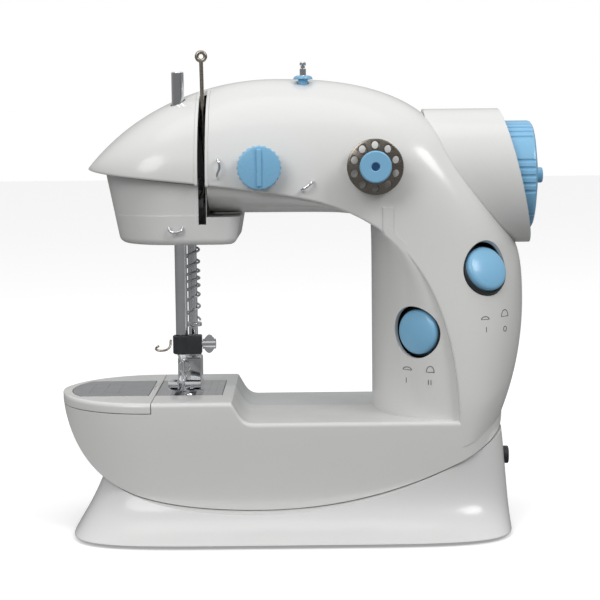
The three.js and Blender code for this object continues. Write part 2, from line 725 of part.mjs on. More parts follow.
// A flat belt around two pulleys on parallel shafts that run along X.
function belt(x, top, topRadius, low, lowRadius) {
  const loop = (grow) => {
    const start = new THREE.Vector2(...top);
    const end = new THREE.Vector2(...low);
    const line = end.clone().sub(start);
    const lean = Math.asin((topRadius - lowRadius) / line.length());
    const heading = line.angle();
    const shape = new THREE.Shape();
    const first = heading + Math.PI / 2 - lean;
    const last = heading - Math.PI / 2 + lean;
    shape.absarc(start.x, start.y, topRadius + grow, first, last, false);
    shape.absarc(end.x, end.y, lowRadius + grow, last, first, false);
    shape.closePath();
    return shape;
  };
  const along = (shape, from, to) => {
    const geometry = new THREE.ExtrudeGeometry(shape, {
      depth: to - from, bevelEnabled: false, curveSegments: 7,
    });
    geometry.applyMatrix4(new THREE.Matrix4().set(
      0, 0, 1, from,
      1, 0, 0, 0,
      0, 1, 0, 0,
      0, 0, 0, 1));
    return toSolid(geometry);
  };
  const outside = along(loop(gap + beltThickness), x[0] + 0.2, x[1] - 0.2);
  return outside.subtract(along(loop(gap), x[0] - 5, x[1] + 5));
}

function makeDrive() {
  const steel = metal(0xb9bdc1);
  const dark = metal(0x8c9094, 0.4);
  const post = (x) => block(x, [-7, frameY[1]], [shaftZ - 7, shaftZ + 7]);
  const bushHole = bar([-60, 0, shaftZ], [90, 0, shaftZ], bushRadius + gap, 16);
  const lug = (z) => block([barX - 5, presserX + 4.6], [barY - 5, frameY[1]], z);
  const frame = cut(
    join(block([-60, rightPostX[1]], frameY, [133, 160]),
      block([barX - 5, presserX + 4.6], frameY, [lowLugZ[0], 140]),
      post(leftPostX), post(rightPostX), lug(highLugZ), lug(lowLugZ)),
    bushHole,
    bar([barX, barY, 100], [barX, barY, 200], barRadius + slip, 16),
    bar([presserX, presserY, 100], [presserX, presserY, 200], presserRadius + slip, 16));
  addPiece('arm_frame', frame, dark);

  [['left_bush', leftPostX], ['right_bush', rightPostX]].forEach(([name, x]) => {
    const ring = turned(
      [[shaftRadius + slip, 0], [bushRadius, 0], [bushRadius, x[1] - x[0] + 1],
        [shaftRadius + slip, x[1] - x[0] + 1], [shaftRadius + slip, 0]],
      [x[0] - 0.5, 0, shaftZ], xAxis, 16);
    addPiece(name, ring, metal(0xb08d4f, 0.4));
  });

  addPiece('main_shaft', bar(
    [crankX[0] + 0.3, 0, shaftZ], [wheelFaceX - 3 - gap, 0, shaftZ], shaftRadius, 16), steel);

  const pinY = -Math.sqrt(crankRadius ** 2 - restDrop ** 2);
  const pinZ = shaftZ - restDrop;
  const disc = cut(
    join(bar([crankX[0], 0, shaftZ], [crankX[1], 0, shaftZ], crankRadius + 2.5, 22),
      bar([crankX[0] - 1.4, pinY, pinZ], [crankX[0] + 1, pinY, pinZ], crankPinRadius, 12)),
    bar([-60, 0, shaftZ], [0, 0, shaftZ], shaftRadius + gap, 16));
  addPiece('crank_disc', disc, steel);

  const bore = shaftRadius + gap;
  const pulleys = [
    [bore, timingX[0] - 1], [timingRadius + 2, timingX[0] - 1], [timingRadius + 2, timingX[0]],
    [timingRadius, timingX[0]], [timingRadius, timingX[1]], [timingRadius + 2, timingX[1]],
    [timingRadius + 2, timingX[1] + 1], [6, timingX[1] + 1], [6, driveX[0] - 1],
    [driveRadius + 2, driveX[0] - 1], [driveRadius + 2, driveX[0]], [driveRadius, driveX[0]],
    [driveRadius, driveX[1]], [driveRadius + 2, driveX[1]], [driveRadius + 2, driveX[1] + 1],
    [bore, driveX[1] + 1], [bore, timingX[0] - 1]];
  addPiece('shaft_pulley', turned(pulleys, [0, 0, shaftZ], xAxis, 20), plastic(0x2e3033, 0.5));

  addPiece('motor', turned(
    [[0, 0], [motorRadius, 0], [motorRadius, motorX[1] - motorX[0] - 2], [3.5, motorX[1] - motorX[0] - 2],
      [3.5, motorX[1] - motorX[0]], [0, motorX[1] - motorX[0]]],
    [motorX[0], motorY, motorZ], xAxis, 20), metal(0xa6aaae, 0.3));
  addPiece('motor_pulley', turned(
    [[0, motorX[1] + gap], [1.2, motorX[1] + gap], [1.2, driveX[0] - 1],
      [motorPulleyRadius + 1.6, driveX[0] - 1],
      [motorPulleyRadius + 1.6, driveX[0]], [motorPulleyRadius, driveX[0]], [motorPulleyRadius, driveX[1]],
      [motorPulleyRadius + 1.6, driveX[1]], [motorPulleyRadius + 1.6, driveX[1] + 1], [0, driveX[1] + 1]],
    [0, motorY, motorZ], xAxis, 12), metal(0x9fa3a7, 0.35));
  addPiece('drive_belt', belt(driveX, [0, shaftZ], driveRadius, [motorY, motorZ], motorPulleyRadius),
    plastic(0x1d1e20, 0.8));
  addPiece('timing_belt', belt(timingX, [0, shaftZ], timingRadius, [hookY, hookZ], timingRadius),
    plastic(0x1d1e20, 0.8));

  const lowerEnd = timingX[1] + 1;
  addPiece('lower_shaft', turned(
    [[0, hookX[1] + gap], [lowerShaftRadius, hookX[1] + gap], [lowerShaftRadius, timingX[0] - 1],
      [timingRadius + 2, timingX[0] - 1], [timingRadius + 2, timingX[0]], [timingRadius, timingX[0]],
      [timingRadius, timingX[1]], [timingRadius + 2, timingX[1]],
      [timingRadius + 2, lowerEnd], [0, lowerEnd]],
    [0, hookY, hookZ], xAxis, 18), steel);
  const bedPost = (x) => block(x, [hookY - 6, hookY + 6], [22, hookZ + 6]);
  const bedFrame = join(
    block([bedPostX[0][0], bedPostX[1][1]], [hookY - 6, hookY + 6], [21, 23]),
    ...bedPostX.map(bedPost));
  addPiece('bed_frame', bedFrame.subtract(
    bar([-60, hookY, hookZ], [60, hookY, hookZ], lowerShaftRadius + slip, 20)), dark);

  const hookLength = hookX[1] - hookX[0];
  addPiece('rotary_hook', turned(
    [[0, 1], [1.4, 1], [1.4, hookLength - 1.5], [hookRadius - 1.5, hookLength - 1.5],
      [hookRadius - 1.5, 0], [hookRadius, 0], [hookRadius, hookLength], [0, hookLength]],
    [hookX[0], hookY, hookZ], xAxis, 22), steel);
  addPiece('lower_bobbin', turned(
    [[1.8, 0], [8.8, 0], [8.8, 0.8], [4, 0.8], [4, 6.2], [8.8, 6.2], [8.8, 7], [1.8, 7], [1.8, 0]],
    [hookX[0] + 0.3, hookY, hookZ], xAxis, 18), metal(0x8e8378, 0.35));
}

// The handwheel is a hollow drum with groups of grip grooves around its rim.
function makeHandwheel() {
  const bore = shaftRadius + gap;
  const drum = turned(
    [[0, wheelFaceX - 3], [bore, wheelFaceX - 3], [bore, 84], [8, 84], [8, 90], [wheelRadius - 3, 90],
      [wheelRadius - 3, wheelInnerX], [wheelRadius, wheelInnerX], [wheelRadius, wheelRimX - 1.3],
      [wheelRadius - 1.3, wheelRimX], [12, wheelFaceX - 0.5], [knobRadius, wheelFaceX],
      [knobRadius, knobEndX - 0.5], [knobRadius - 0.5, knobEndX], [0, knobEndX]],
    [0, 0, shaftZ], xAxis, 26);
  const grooves = [];
  for (let group = 0; group < grooveGroups; group += 1) {
    for (let i = -2; i <= 2; i += 1) {
      const angle = group * 2 * Math.PI / grooveGroups + i * 0.14 + Math.PI;
      const y = Math.cos(angle) * (wheelRadius + 0.2);
      const z = shaftZ + Math.sin(angle) * (wheelRadius + 0.2);
      grooves.push(bar([wheelInnerX - 1, y, z], [wheelRimX + 2, y, z], 0.8, 4));
    }
  }
  addPiece('handwheel', cut(drum, ...grooves), plastic(blue, 0.3));
}

// ------------------------------------------------------- needle and presser

function makeNeedle() {
  const chrome = metal(0xd6d9dc, 0.12);
  addPiece('needle_bar', turned(
    [[0, barLowZ - 2], [1.2, barLowZ - 2], [barRadius, barLowZ + 1.5], [barRadius, barTopZ - 0.5],
      [barRadius - 0.5, barTopZ], [0, barTopZ]],
    [barX, barY, 0], new THREE.Vector3(0, 0, 1), 16), chrome);

  const pinZ = shaftZ - restDrop;
  const yokeX = [presserX + 3.2, crankX[0] - 2];
  const yoke = join(
    block(yokeX, [-14, 14], [pinZ - 3.5, pinZ + 3.5]),
    block([barX - 4.5, yokeX[1]], [barY - 4, barY + 4], [pinZ - 3.5, pinZ + 3.5]));
  addPiece('needle_bar_yoke', cut(
    yoke,
    block(
      [yokeX[0] - 1, yokeX[1] + 1], [-12.8, 12.8],
      [pinZ - crankPinRadius - slip, pinZ + crankPinRadius + slip]),
    bar([barX, barY, 100], [barX, barY, 200], barRadius + gap, 16)), metal(0x9a9ea2, 0.4));

  const clampZ = [71.3, 79];
  const clamp = cut(
    join(bar([barX, barY, clampZ[0]], [barX, barY, clampZ[1]], barRadius + 1.3, 16),
      block([barX + 1, clampRightX], [barY - 3, barY + 3], clampZ)),
    bar([barX, barY, 60], [barX, barY, 90], barRadius + gap, 16),
    bar([barX + 2, barY, 75.3], [clampRightX + 1, barY, 75.3], 1.5, 12));
  addPiece('needle_clamp', clamp, plastic(0x26282a, 0.4));
  addPiece('clamp_screw', turned(
    [[0, barX + barRadius + 1], [1.2, barX + barRadius + 1], [1.2, clampRightX + gap],
      [3.7, clampRightX + gap], [3.7, clampRightX + 5.5], [0, clampRightX + 5.5]],
    [0, barY, 75.3], xAxis, 14), chrome);

  addPiece('needle', turned(
    [[0, needleTipZ], [needleRadius, needleTipZ + 4],
      [needleRadius, barLowZ - 2 - gap], [0, barLowZ - 2 - gap]],
    [barX, barY, 0], new THREE.Vector3(0, 0, 1), 8), chrome);

  const side = barX - barRadius - 2.2;
  addPiece('needle_thread_guide', wire(
    [[side, barY, 77], [side - 0.6, barY - 2, 74], [side - 3, barY - 3, 73], [side - 6, barY - 2, 73.6],
      [side - 5, barY - 0.5, 74.6]], 0.45, 12, 4), chrome);

  addPiece('take_up_lever', join(
    wire([[barX + 5, barY - 4.9, pinZ], [slotX - 1.5, leverY + 0.6, pinZ + 1], [slotX, leverY, pinZ + 5],
      [slotX, leverY, 160], [slotX - 0.4, leverY, leverTopZ - 4.6]], leverWire, 16, 6),
    eyelet(new THREE.Vector3(slotX - 0.4, leverY, leverTopZ - 2.5), 1.7, leverWire)), chrome);
}

// A closed ring of wire that stands upright in X and Z.
function eyelet(centre, radius, thickness) {
  const geometry = new THREE.TorusGeometry(radius, thickness, 6, 12);
  geometry.rotateX(Math.PI / 2);
  geometry.translate(centre.x, centre.y, centre.z);
  return toSolid(geometry);
}

function makePresser() {
  const chrome = metal(0xd6d9dc, 0.15);
  const up = new THREE.Vector3(0, 0, 1);
  addPiece('presser_bar', turned(
    [[0, ankleTopZ - 4], [presserRadius, ankleTopZ - 4], [presserRadius, springLowZ - 2.6],
      [3.6, springLowZ - 2.6], [3.6, springLowZ - 1], [presserRadius, springLowZ - 1],
      [presserRadius, collarZ[0]], [2.7, collarZ[0]], [2.7, collarZ[1]], [presserRadius, collarZ[1]],
      [presserRadius, presserTopZ], [0, presserTopZ]],
    [presserX, presserY, 0], up, 14), chrome);

  const turns = new (class extends THREE.Curve {
    getPoint(t) {
      const turn = t * springTurns * 2 * Math.PI;
      const z = THREE.MathUtils.lerp(springLowZ, lowLugZ[0] - 1.4, t);
      return new THREE.Vector3(
        presserX + springRadius * Math.cos(turn), presserY + springRadius * Math.sin(turn), z);
    }
  })();
  addPiece('presser_spring', wire(turns, springWire, springTurns * 8, 4), metal(0xc2c6ca, 0.3));

  const sole = cut(
    join(block([barX - 5.3, barX + 7.9], [barY - 11, presserY + 4], [soleZ, soleZ + 1.5]),
      bar([barX - 5.3, barY - 11, soleZ + 1.6], [barX + 7.9, barY - 11, soleZ + 1.6], 1.6, 12)),
    block([barX - 1.6, barX + 1.6], [barY - 20, barY + 3], [50, 64]));
  const ankle = cut(
    block([barX - 2.4, presserX + 3.6], [presserY - 6, presserY + 4], [soleZ + 1, ankleTopZ]),
    bar([presserX, presserY, ankleTopZ - 4.5], [presserX, presserY, 90], presserRadius + gap, 16),
    bar([barX + 0.4, -20, 65.2], [barX + 0.4, presserY - 2, 65.2], 1.5, 12));
  addPiece('presser_foot', join(sole, ankle), chrome);
  const face = presserY - 6;
  addPiece('foot_screw', join(
    bar([barX + 0.4, face - 1.3, 65.2], [barX + 0.4, face - gap, 65.2], 2.6, 16),
    bar([barX + 0.4, face - 1, 65.2], [barX + 0.4, face + 3, 65.2], 1.2, 12)), chrome);

  const tipX = lifterX + lifterLength;
  const paddleY = [headRearY + 1, headRearY + 4];
  const lever = join(
    bar([lifterX, presserY - 1.5, lifterZ], [lifterX, headRearY + 4.5, lifterZ], 2, 16),
    block(
      [lifterX, presserX - presserRadius - 0.5], [presserY - 1.5, presserY + 1.5],
      [lifterZ - 0.6, collarZ[0] - 0.6]),
    block([lifterX - 2.5, tipX], paddleY, [lifterZ - 2.5, lifterZ + 2.5]),
    bar([tipX, paddleY[0], lifterZ], [tipX, paddleY[1], lifterZ], 3.5, 16));
  addPiece('presser_lifter', lever, metal(0xa9adb1, 0.35));
}

// ------------------------------------------------------- thread path and buttons

function makeThreadPath() {
  const chrome = metal(0xc9ccd0, 0.2);
  const front = armFrontY;
  const ribs = new THREE.Shape();
  for (let i = 0; i < dialRibs * 2; i += 1) {
    const angle = i * Math.PI / dialRibs;
    const radius = dialRadius - (i % 2) * 0.5;
    const [x, z] = [dialX + radius * Math.cos(angle), -dialZ + radius * Math.sin(angle)];
    if (i === 0) ribs.moveTo(x, -z);
    else ribs.lineTo(x, -z);
  }
  const dialY = [front - 2.2 - dialThickness, front - 2.2];
  const dial = cut(
    join(frontPrism(ribs, [dialY[0] + 1, dialY[1]]),
      block([dialX - 1, dialX + 1], [dialY[0], dialY[1]], [dialZ - 7, dialZ + 7])),
    bar([dialX, dialY[0] + 3, dialZ], [dialX, dialY[1] + 1, dialZ], 5, 20));
  addPiece('tension_dial', dial, plastic(blue, 0.3));
  addPiece('tension_stud', join(
    bar([dialX, dialY[0] + 3.6, dialZ], [dialX, front + 3.5, dialZ], 1.5, 12),
    bar([dialX, front + 4, dialZ], [dialX, front + 6, dialZ], 4, 16),
    bar([dialX, front + 3, dialZ], [dialX, front + 5, dialZ], 1.5, 12)), chrome);
  addPiece('tension_disc', turned(
    [[1.9, 0], [7.5, 0.5], [7.5, 1], [1.9, 1.6], [1.9, 0]],
    [dialX, front - 0.2, dialZ], yAxis, 18), chrome);
  const bobbinY = [front - 1.5 - bobbinWidth, front - 1.5];
  const reel = turned(
    [[bobbinBore, 0], [bobbinRadius, 0], [bobbinRadius, 0.9], [4.4, 0.9], [4.4, bobbinWidth - 0.9],
      [bobbinRadius, bobbinWidth - 0.9], [bobbinRadius, bobbinWidth],
      [bobbinBore, bobbinWidth], [bobbinBore, 0]],
    [bobbinX, bobbinY[1], dialZ], yAxis, 20);
  const holes = [];
  for (let i = 0; i < bobbinHoles; i += 1) {
    const angle = i * 2 * Math.PI / bobbinHoles + Math.PI / 2;
    const [x, z] = [bobbinX + 8.4 * Math.cos(angle), dialZ + 8.4 * Math.sin(angle)];
    holes.push(bar([x, bobbinY[0] - 1, z], [x, bobbinY[1] + 1, z], 1.5, 6));
  }
  addPiece('front_bobbin', cut(reel, ...holes), metal(0x8e8378, 0.35));
  addPiece('bobbin_hub', cut(
    join(bar([bobbinX, bobbinY[0] - 1.4, dialZ], [bobbinX, bobbinY[0] - gap, dialZ], frontHubRadius, 20),
      bar([bobbinX, bobbinY[0] - 1, dialZ], [bobbinX, bobbinY[1] + 0.5, dialZ], bobbinBore - gap, 16),
      bar([bobbinX, bobbinY[1], dialZ], [bobbinX, front + 6, dialZ], 2.1, 16)),
    bar([bobbinX, bobbinY[0] - 3, dialZ], [bobbinX, bobbinY[0] + 3, dialZ], 1.6, 12)), plastic(blue, 0.3));

  addPiece('thread_guide_left', wire(
    [[-32.3, front + 1, 151], [-32.3, front - 2, 151], [-31.6, front - 2.6, 148.5], [-32.6, front - 2, 145],
      [-32.4, front - 0.2, 143.6]], 0.55, 12, 5), chrome);
  addPiece('thread_guide_right', wire(
    [[4.6, front + 0.4, 142.4], [4.4, front - 2.2, 142], [2.6, front - 3, 140.4], [0.4, front - 2.4, 139],
      [0.6, front - 0.4, 138.8]], 0.55, 12, 5), chrome);
  addPiece('head_eyelet', wire(
    [[-52.2, headFrontY - 1, 124.6], [-51.6, headFrontY - 2.2, 123.2], [-49.5, headFrontY - 2.6, 122.6],
      [-47.4, headFrontY - 2.2, 123.2], [-46.8, headFrontY - 1, 124.6]], 0.6, 10, 5), chrome);

  const up = new THREE.Vector3(0, 0, 1);
  addPiece('spool_pin', turned(
    [[0, spoolLowZ], [spoolRadius, spoolLowZ], [spoolRadius, spoolTopZ - 3], [0.9, spoolTopZ - 2.6],
      [0.9, spoolTopZ - 1.8], [spoolRadius, spoolTopZ - 1.4], [spoolRadius, spoolTopZ - 0.3], [0, spoolTopZ]],
    [spoolX, spoolY, 0], up, 12), chrome);
  addPiece('spool_base', turned(
    [[spoolRadius + slip, 177], [2, 177], [2, 182.9], [3.9, 182.9], [3.6, 183.8], [2.6, 184.4],
      [spoolRadius + slip, 184.4], [spoolRadius + slip, 177]],
    [spoolX, spoolY, 0], up, 16), plastic(blue, 0.3));
}

function makeButton(name, centre, normal) {
  const cap = turned(
    [[0, -4.5], [buttonRadius, -4.5], [buttonRadius, 1.6], [buttonRadius - 1.2, 2.8], [4, 3.5], [0, 3.6]],
    centre.toArray(), normal, 22);
  const ringLow = -8.7;
  const ring = cut(
    along(centre, normal, bezelRadius, ringLow, 0.9),
    along(centre, normal, buttonRadius + slip, ringLow + 1.4, 5));
  const rest = ringLow - gap;
  addPiece(`${name}_button`, cap, plastic(blue, 0.25));
  addPiece(`${name}_bezel`, cut(ring, along(centre, normal, 2, ringLow - 4, 0, 16)), plastic(0x3a3d40, 0.4));
  addPiece(`${name}_switch`, join(
    along(centre, normal, 5, rest - 8, rest, 14),
    along(centre, normal, 1.6, rest - 1, -4.5 - buttonTravel - gap, 10)),
  plastic(0x2e3033, 0.5));
}

function makeJack() {
  addPiece('power_jack', turned(
    [[0, 0], [jackRadius - 0.6, 0], [jackRadius - 0.6, 6], [jackRadius, 6], [jackRadius, 10.5], [2.2, 10.5],
      [2.2, 4], [0.8, 4], [0.8, 10], [0, 10.2]],
    [73.5, jackY, jackZ], xAxis, 16), plastic(0x1f2022, 0.4));
}

makeShells();
makeHead();
makeWheelHousing();
makeBase();
makeBedFittings();
makeDrive();
makeHandwheel();
makeNeedle();
makePresser();
makeThreadPath();
makeButton('power', powerCentre, powerNormal);
makeButton('speed', speedCentre, speedNormal);
makeJack();

export default machine;
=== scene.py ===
# %% [markdown]
# # A portable sewing machine
#
# The working model of the machine comes in as a fixed frame: sixty solids that
# already sit in the right place and move on the right joints. This lesson puts a
# finished skin on that frame. Each step says what the piece is on the real
# machine, how it could be made in Blender, and why one way was chosen.

import json
import math

import bmesh
import bpy
from mathutils import Matrix, Vector
from mathutils.bvhtree import BVHTree

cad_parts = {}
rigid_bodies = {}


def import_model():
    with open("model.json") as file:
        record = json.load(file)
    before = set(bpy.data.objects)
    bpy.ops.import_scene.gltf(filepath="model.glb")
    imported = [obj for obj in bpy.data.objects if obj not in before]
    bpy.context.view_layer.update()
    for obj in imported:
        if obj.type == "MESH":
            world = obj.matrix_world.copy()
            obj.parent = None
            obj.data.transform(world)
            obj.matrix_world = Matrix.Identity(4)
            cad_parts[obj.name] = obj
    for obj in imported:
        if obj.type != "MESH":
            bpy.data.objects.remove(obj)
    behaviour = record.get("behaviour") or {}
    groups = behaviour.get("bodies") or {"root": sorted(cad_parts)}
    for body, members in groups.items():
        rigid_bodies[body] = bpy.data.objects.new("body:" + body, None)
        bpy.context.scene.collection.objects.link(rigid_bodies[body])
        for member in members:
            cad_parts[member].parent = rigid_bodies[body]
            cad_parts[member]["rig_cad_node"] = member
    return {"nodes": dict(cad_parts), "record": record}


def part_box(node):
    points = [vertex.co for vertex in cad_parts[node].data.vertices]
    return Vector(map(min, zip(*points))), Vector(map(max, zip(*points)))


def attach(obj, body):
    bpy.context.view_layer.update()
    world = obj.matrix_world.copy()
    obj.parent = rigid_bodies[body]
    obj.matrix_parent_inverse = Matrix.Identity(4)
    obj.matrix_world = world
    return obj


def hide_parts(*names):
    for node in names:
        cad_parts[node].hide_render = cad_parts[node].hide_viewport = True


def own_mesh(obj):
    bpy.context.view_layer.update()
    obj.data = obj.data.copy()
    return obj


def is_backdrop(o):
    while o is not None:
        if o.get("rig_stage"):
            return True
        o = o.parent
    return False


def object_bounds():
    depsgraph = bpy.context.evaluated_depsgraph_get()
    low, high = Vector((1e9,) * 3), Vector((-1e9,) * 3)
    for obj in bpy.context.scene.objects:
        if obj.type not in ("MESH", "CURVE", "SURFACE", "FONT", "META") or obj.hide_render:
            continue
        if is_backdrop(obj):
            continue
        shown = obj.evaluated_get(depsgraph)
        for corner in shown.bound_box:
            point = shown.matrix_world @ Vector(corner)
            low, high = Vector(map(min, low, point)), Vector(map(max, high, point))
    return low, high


for left_over in list(bpy.data.objects):
    bpy.data.objects.remove(left_over)
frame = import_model()
cad_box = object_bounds()

# %% [markdown]
# ## Drawing in millimetres
#
# A machine this size is drawn in millimetres, while Blender and the frame count
# in metres. Every shape below is therefore drawn as a bmesh in millimetres, and
# one helper scales it when it becomes a piece. The same helper merges doubled
# corners, turns the faces outwards, smooths the shading up to a given angle,
# hangs the piece on the body it rides on, and hides the solids it stands for.

# %% Turn a drawing into a piece
MM = 0.001


def shade(mesh, angle):
    """Smooth shading, with edges sharper than `angle` degrees kept crisp."""
    mesh.shade_smooth()
    mesh.set_sharp_from_angle(angle=math.radians(angle))


def piece(name, bm, body, finish, stands_for=(), angle=35, weld=1e-3):
    """Scale a drawing to metres and make it a named piece that rides on a body."""
    bmesh.ops.remove_doubles(bm, verts=bm.verts, dist=weld)
    bmesh.ops.dissolve_degenerate(bm, edges=bm.edges, dist=1e-4)
    bmesh.ops.recalc_face_normals(bm, faces=bm.faces)
    bmesh.ops.scale(bm, vec=Vector((MM, MM, MM)), verts=bm.verts)
    mesh = bpy.data.meshes.new(name)
    bm.to_mesh(mesh)
    bm.free()
    shade(mesh, angle)
    made = bpy.data.objects.new(name, mesh)
    bpy.context.scene.collection.objects.link(made)
    made.data.materials.append(finish)
    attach(made, body)
    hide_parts(*stands_for)
    return made


def even_normals(made):
    """Let the large faces set the shading, so that flats stay flat beside curves."""
    level = made.modifiers.new("even_normals", "WEIGHTED_NORMAL")
    level.keep_sharp = True
    level.weight = 90
    return made


def span(node):
    """The lowest and highest corner of a solid of the frame, in millimetres."""
    low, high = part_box(node)
    return low / MM, high / MM


# %% [markdown]
# ## Shader arithmetic
#
# Node materials are sums and products of fields over the surface. Wired by hand
# they become long lists of links, so a small class wraps a socket and lets it be
# added, multiplied or raised to a power like a number.

# %% A socket that behaves like a number
class Field:
    """A shader socket with arithmetic."""

    def __init__(self, tree, socket):
        self.tree = tree
        self.socket = socket

    def maths(self, operation, first, second=None):
        node = self.tree.nodes.new("ShaderNodeMath")
        node.operation = operation
        for plug, value in zip(node.inputs, (first, second)):
            if isinstance(value, Field):
                self.tree.links.new(value.socket, plug)
            elif value is not None:
                plug.default_value = value
        return Field(self.tree, node.outputs[0])

    def __add__(self, other):
        return self.maths("ADD", self, other)

    def __sub__(self, other):
        return self.maths("SUBTRACT", self, other)

    def __mul__(self, other):
        return self.maths("MULTIPLY", self, other)

    def __truediv__(self, other):
        return self.maths("DIVIDE", self, other)

    def __pow__(self, other):
        return self.maths("POWER", self, other)

    def __radd__(self, other):
        return self.maths("ADD", other, self)

    def __rsub__(self, other):
        return self.maths("SUBTRACT", other, self)

    def __rmul__(self, other):
        return self.maths("MULTIPLY", other, self)

    def above(self, edge, width):
        """0 below `edge`, 1 above it, with a soft step `width` wide."""
        node = self.tree.nodes.new("ShaderNodeMapRange")
        node.interpolation_type = "SMOOTHSTEP"
        self.tree.links.new(self.socket, node.inputs["Value"])
        node.inputs["From Min"].default_value = edge - width / 2
        node.inputs["From Max"].default_value = edge + width / 2
        return Field(self.tree, node.outputs["Result"])

    def into(self, socket):
        self.tree.links.new(self.socket, socket)


class Finish:
    """A Principled material whose fields read the piece's own Object coordinates."""

    def __init__(self, name, colour, roughness, metallic=0.0, coat=0.0):
        self.material = bpy.data.materials.new(name)
        self.material.use_nodes = True
        self.tree = self.material.node_tree
        self.shader = self.tree.nodes["Principled BSDF"]
        self.shader.inputs["Metallic"].default_value = metallic
        self.shader.inputs["Roughness"].default_value = roughness
        self.shader.inputs["Coat Weight"].default_value = coat
        self.shader.inputs["Coat Roughness"].default_value = 0.08
        self.shader.inputs["Base Color"].default_value = (*colour, 1)
        self.colour = colour
        self.coordinates = self.tree.nodes.new("ShaderNodeTexCoord").outputs["Object"]
        self.material.diffuse_color = (*colour, 1)

    def axis(self, letter):
        """One Object coordinate, in millimetres."""
        split = self.tree.nodes.new("ShaderNodeSeparateXYZ")
        self.tree.links.new(self.coordinates, split.inputs[0])
        return Field(self.tree, split.outputs[letter]) / MM

    def noise(self, size, detail=2.0, stretch=(1, 1, 1)):
        """Cloudy noise whose features are about `size` millimetres."""
        mapping = self.tree.nodes.new("ShaderNodeMapping")
        mapping.inputs["Scale"].default_value = [s / (size * MM) for s in stretch]
        self.tree.links.new(self.coordinates, mapping.inputs["Vector"])
        node = self.tree.nodes.new("ShaderNodeTexNoise")
        node.inputs["Scale"].default_value = 1.0
        node.inputs["Detail"].default_value = detail
        self.tree.links.new(mapping.outputs[0], node.inputs["Vector"])
        return Field(self.tree, node.outputs["Fac"])

    def tint(self, field, other, share=1.0):
        """Mix another colour into the base colour where `field` is high."""
        mix = self.tree.nodes.new("ShaderNodeMix")
        mix.data_type = "RGBA"
        mix.clamp_factor = True
        (field * share).into(mix.inputs["Factor"])
        base = self.shader.inputs["Base Color"]
        if base.links:
            self.tree.links.new(base.links[0].from_socket, mix.inputs["A"])
        else:
            mix.inputs["A"].default_value = base.default_value
        mix.inputs["B"].default_value = (*other, 1)
        self.tree.links.new(mix.outputs["Result"], base)
        return self

    def vary_roughness(self, field, low, high):
        (field * (high - low) + low).into(self.shader.inputs["Roughness"])
        return self

    def relief(self, field, depth, soft_edge=0.0):
        """Bump `depth` millimetres deep; `soft_edge` rounds corners in the shading."""
        bump = self.tree.nodes.new("ShaderNodeBump")
        bump.inputs["Strength"].default_value = 1.0
        bump.inputs["Distance"].default_value = depth * MM
        field.into(bump.inputs["Height"])
        if soft_edge:
            edge = self.tree.nodes.new("ShaderNodeBevel")
            edge.samples = 4
            edge.inputs["Radius"].default_value = soft_edge * MM
            self.tree.links.new(edge.outputs["Normal"], bump.inputs["Normal"])
        self.tree.links.new(bump.outputs["Normal"], self.shader.inputs["Normal"])
        return self


# %% [markdown]
# ## The finishes
#
# The casing is injection-moulded plastic with a polished skin. Up close such a
# skin is never flat: it has a faint orange-peel ripple, a gloss that changes a
# little from place to place, and slow cloudy shifts of colour. The finish keeps
# those three fields. The same recipe, with other numbers, gives the head, the
# base, the blue trim and the dark mouldings. The rear half of the casing gets a
# darker, bluer copy of the white, which is painted shade for the arm's shadow.

# %% Moulded plastics
def moulded(name, colour, shadow, gloss=(0.16, 0.30), peel=0.012, coat=0.25, edge=0.35):
    made = Finish(name, colour, gloss[0], coat=coat)
    made.tint(made.noise(45, 3), shadow, 0.55)
    made.tint(made.noise(2.2, 4).above(0.66, 0.16), shadow, 0.35)
    made.vary_roughness(made.noise(14, 4), *gloss)
    made.relief(made.noise(1.6, 2) * 0.7 + made.noise(0.35, 1) * 0.3, peel, edge)
    return made.material


casing_white = moulded("polished_white_plastic", (0.80, 0.80, 0.785), (0.76, 0.765, 0.755))
# The rear half's white is a darker, bluer copy of the casing white: painted shade, standing in for the
# shadow the arm casts over the rear of the deck.
rear_white_painted_shade = moulded("rear_plastic_painted_shade", (0.70, 0.72, 0.725), (0.66, 0.68, 0.69))
head_white = moulded("head_grey_white_plastic", (0.74, 0.74, 0.73), (0.70, 0.70, 0.695))
base_white = moulded("base_grey_white_plastic", (0.76, 0.765, 0.755), (0.72, 0.725, 0.72))
trim_blue = moulded(
    "light_blue_plastic", (0.255, 0.56, 0.82), (0.23, 0.50, 0.75), gloss=(0.22, 0.36), coat=0.15)
charcoal = moulded(
    "charcoal_plastic", (0.022, 0.024, 0.028), (0.035, 0.036, 0.04), gloss=(0.35, 0.55), coat=0.0)
ink = moulded(
    "grey_print", (0.10, 0.10, 0.11), (0.14, 0.14, 0.15), gloss=(0.5, 0.6), coat=0.0, edge=0.0)

# %% [markdown]
# Rubber is matt and grainy. Bright metal parts are turned or drawn, so their
# fine marks run round or along the part; a stretched noise gives those marks a
# direction, and a slow noise keeps the polish from being perfect.

# %% Rubber and metals
def rubbery(name, colour, dusty):
    made = Finish(name, colour, 0.8)
    made.tint(made.noise(3, 5).above(0.55, 0.4), dusty, 0.6)
    made.vary_roughness(made.noise(1.2, 3), 0.68, 0.9)
    made.relief(made.noise(0.4, 3), 0.03)
    return made.material


def metallic(name, colour, stain, gloss, marks=(1, 1, 12), depth=0.004):
    made = Finish(name, colour, gloss[0], metallic=1.0)
    made.tint(made.noise(7, 4).above(0.6, 0.5), stain, 0.6)
    made.vary_roughness(made.noise(2.5, 5, marks), *gloss)
    made.relief(made.noise(0.5, 3, marks), depth, 0.12)
    return made.material


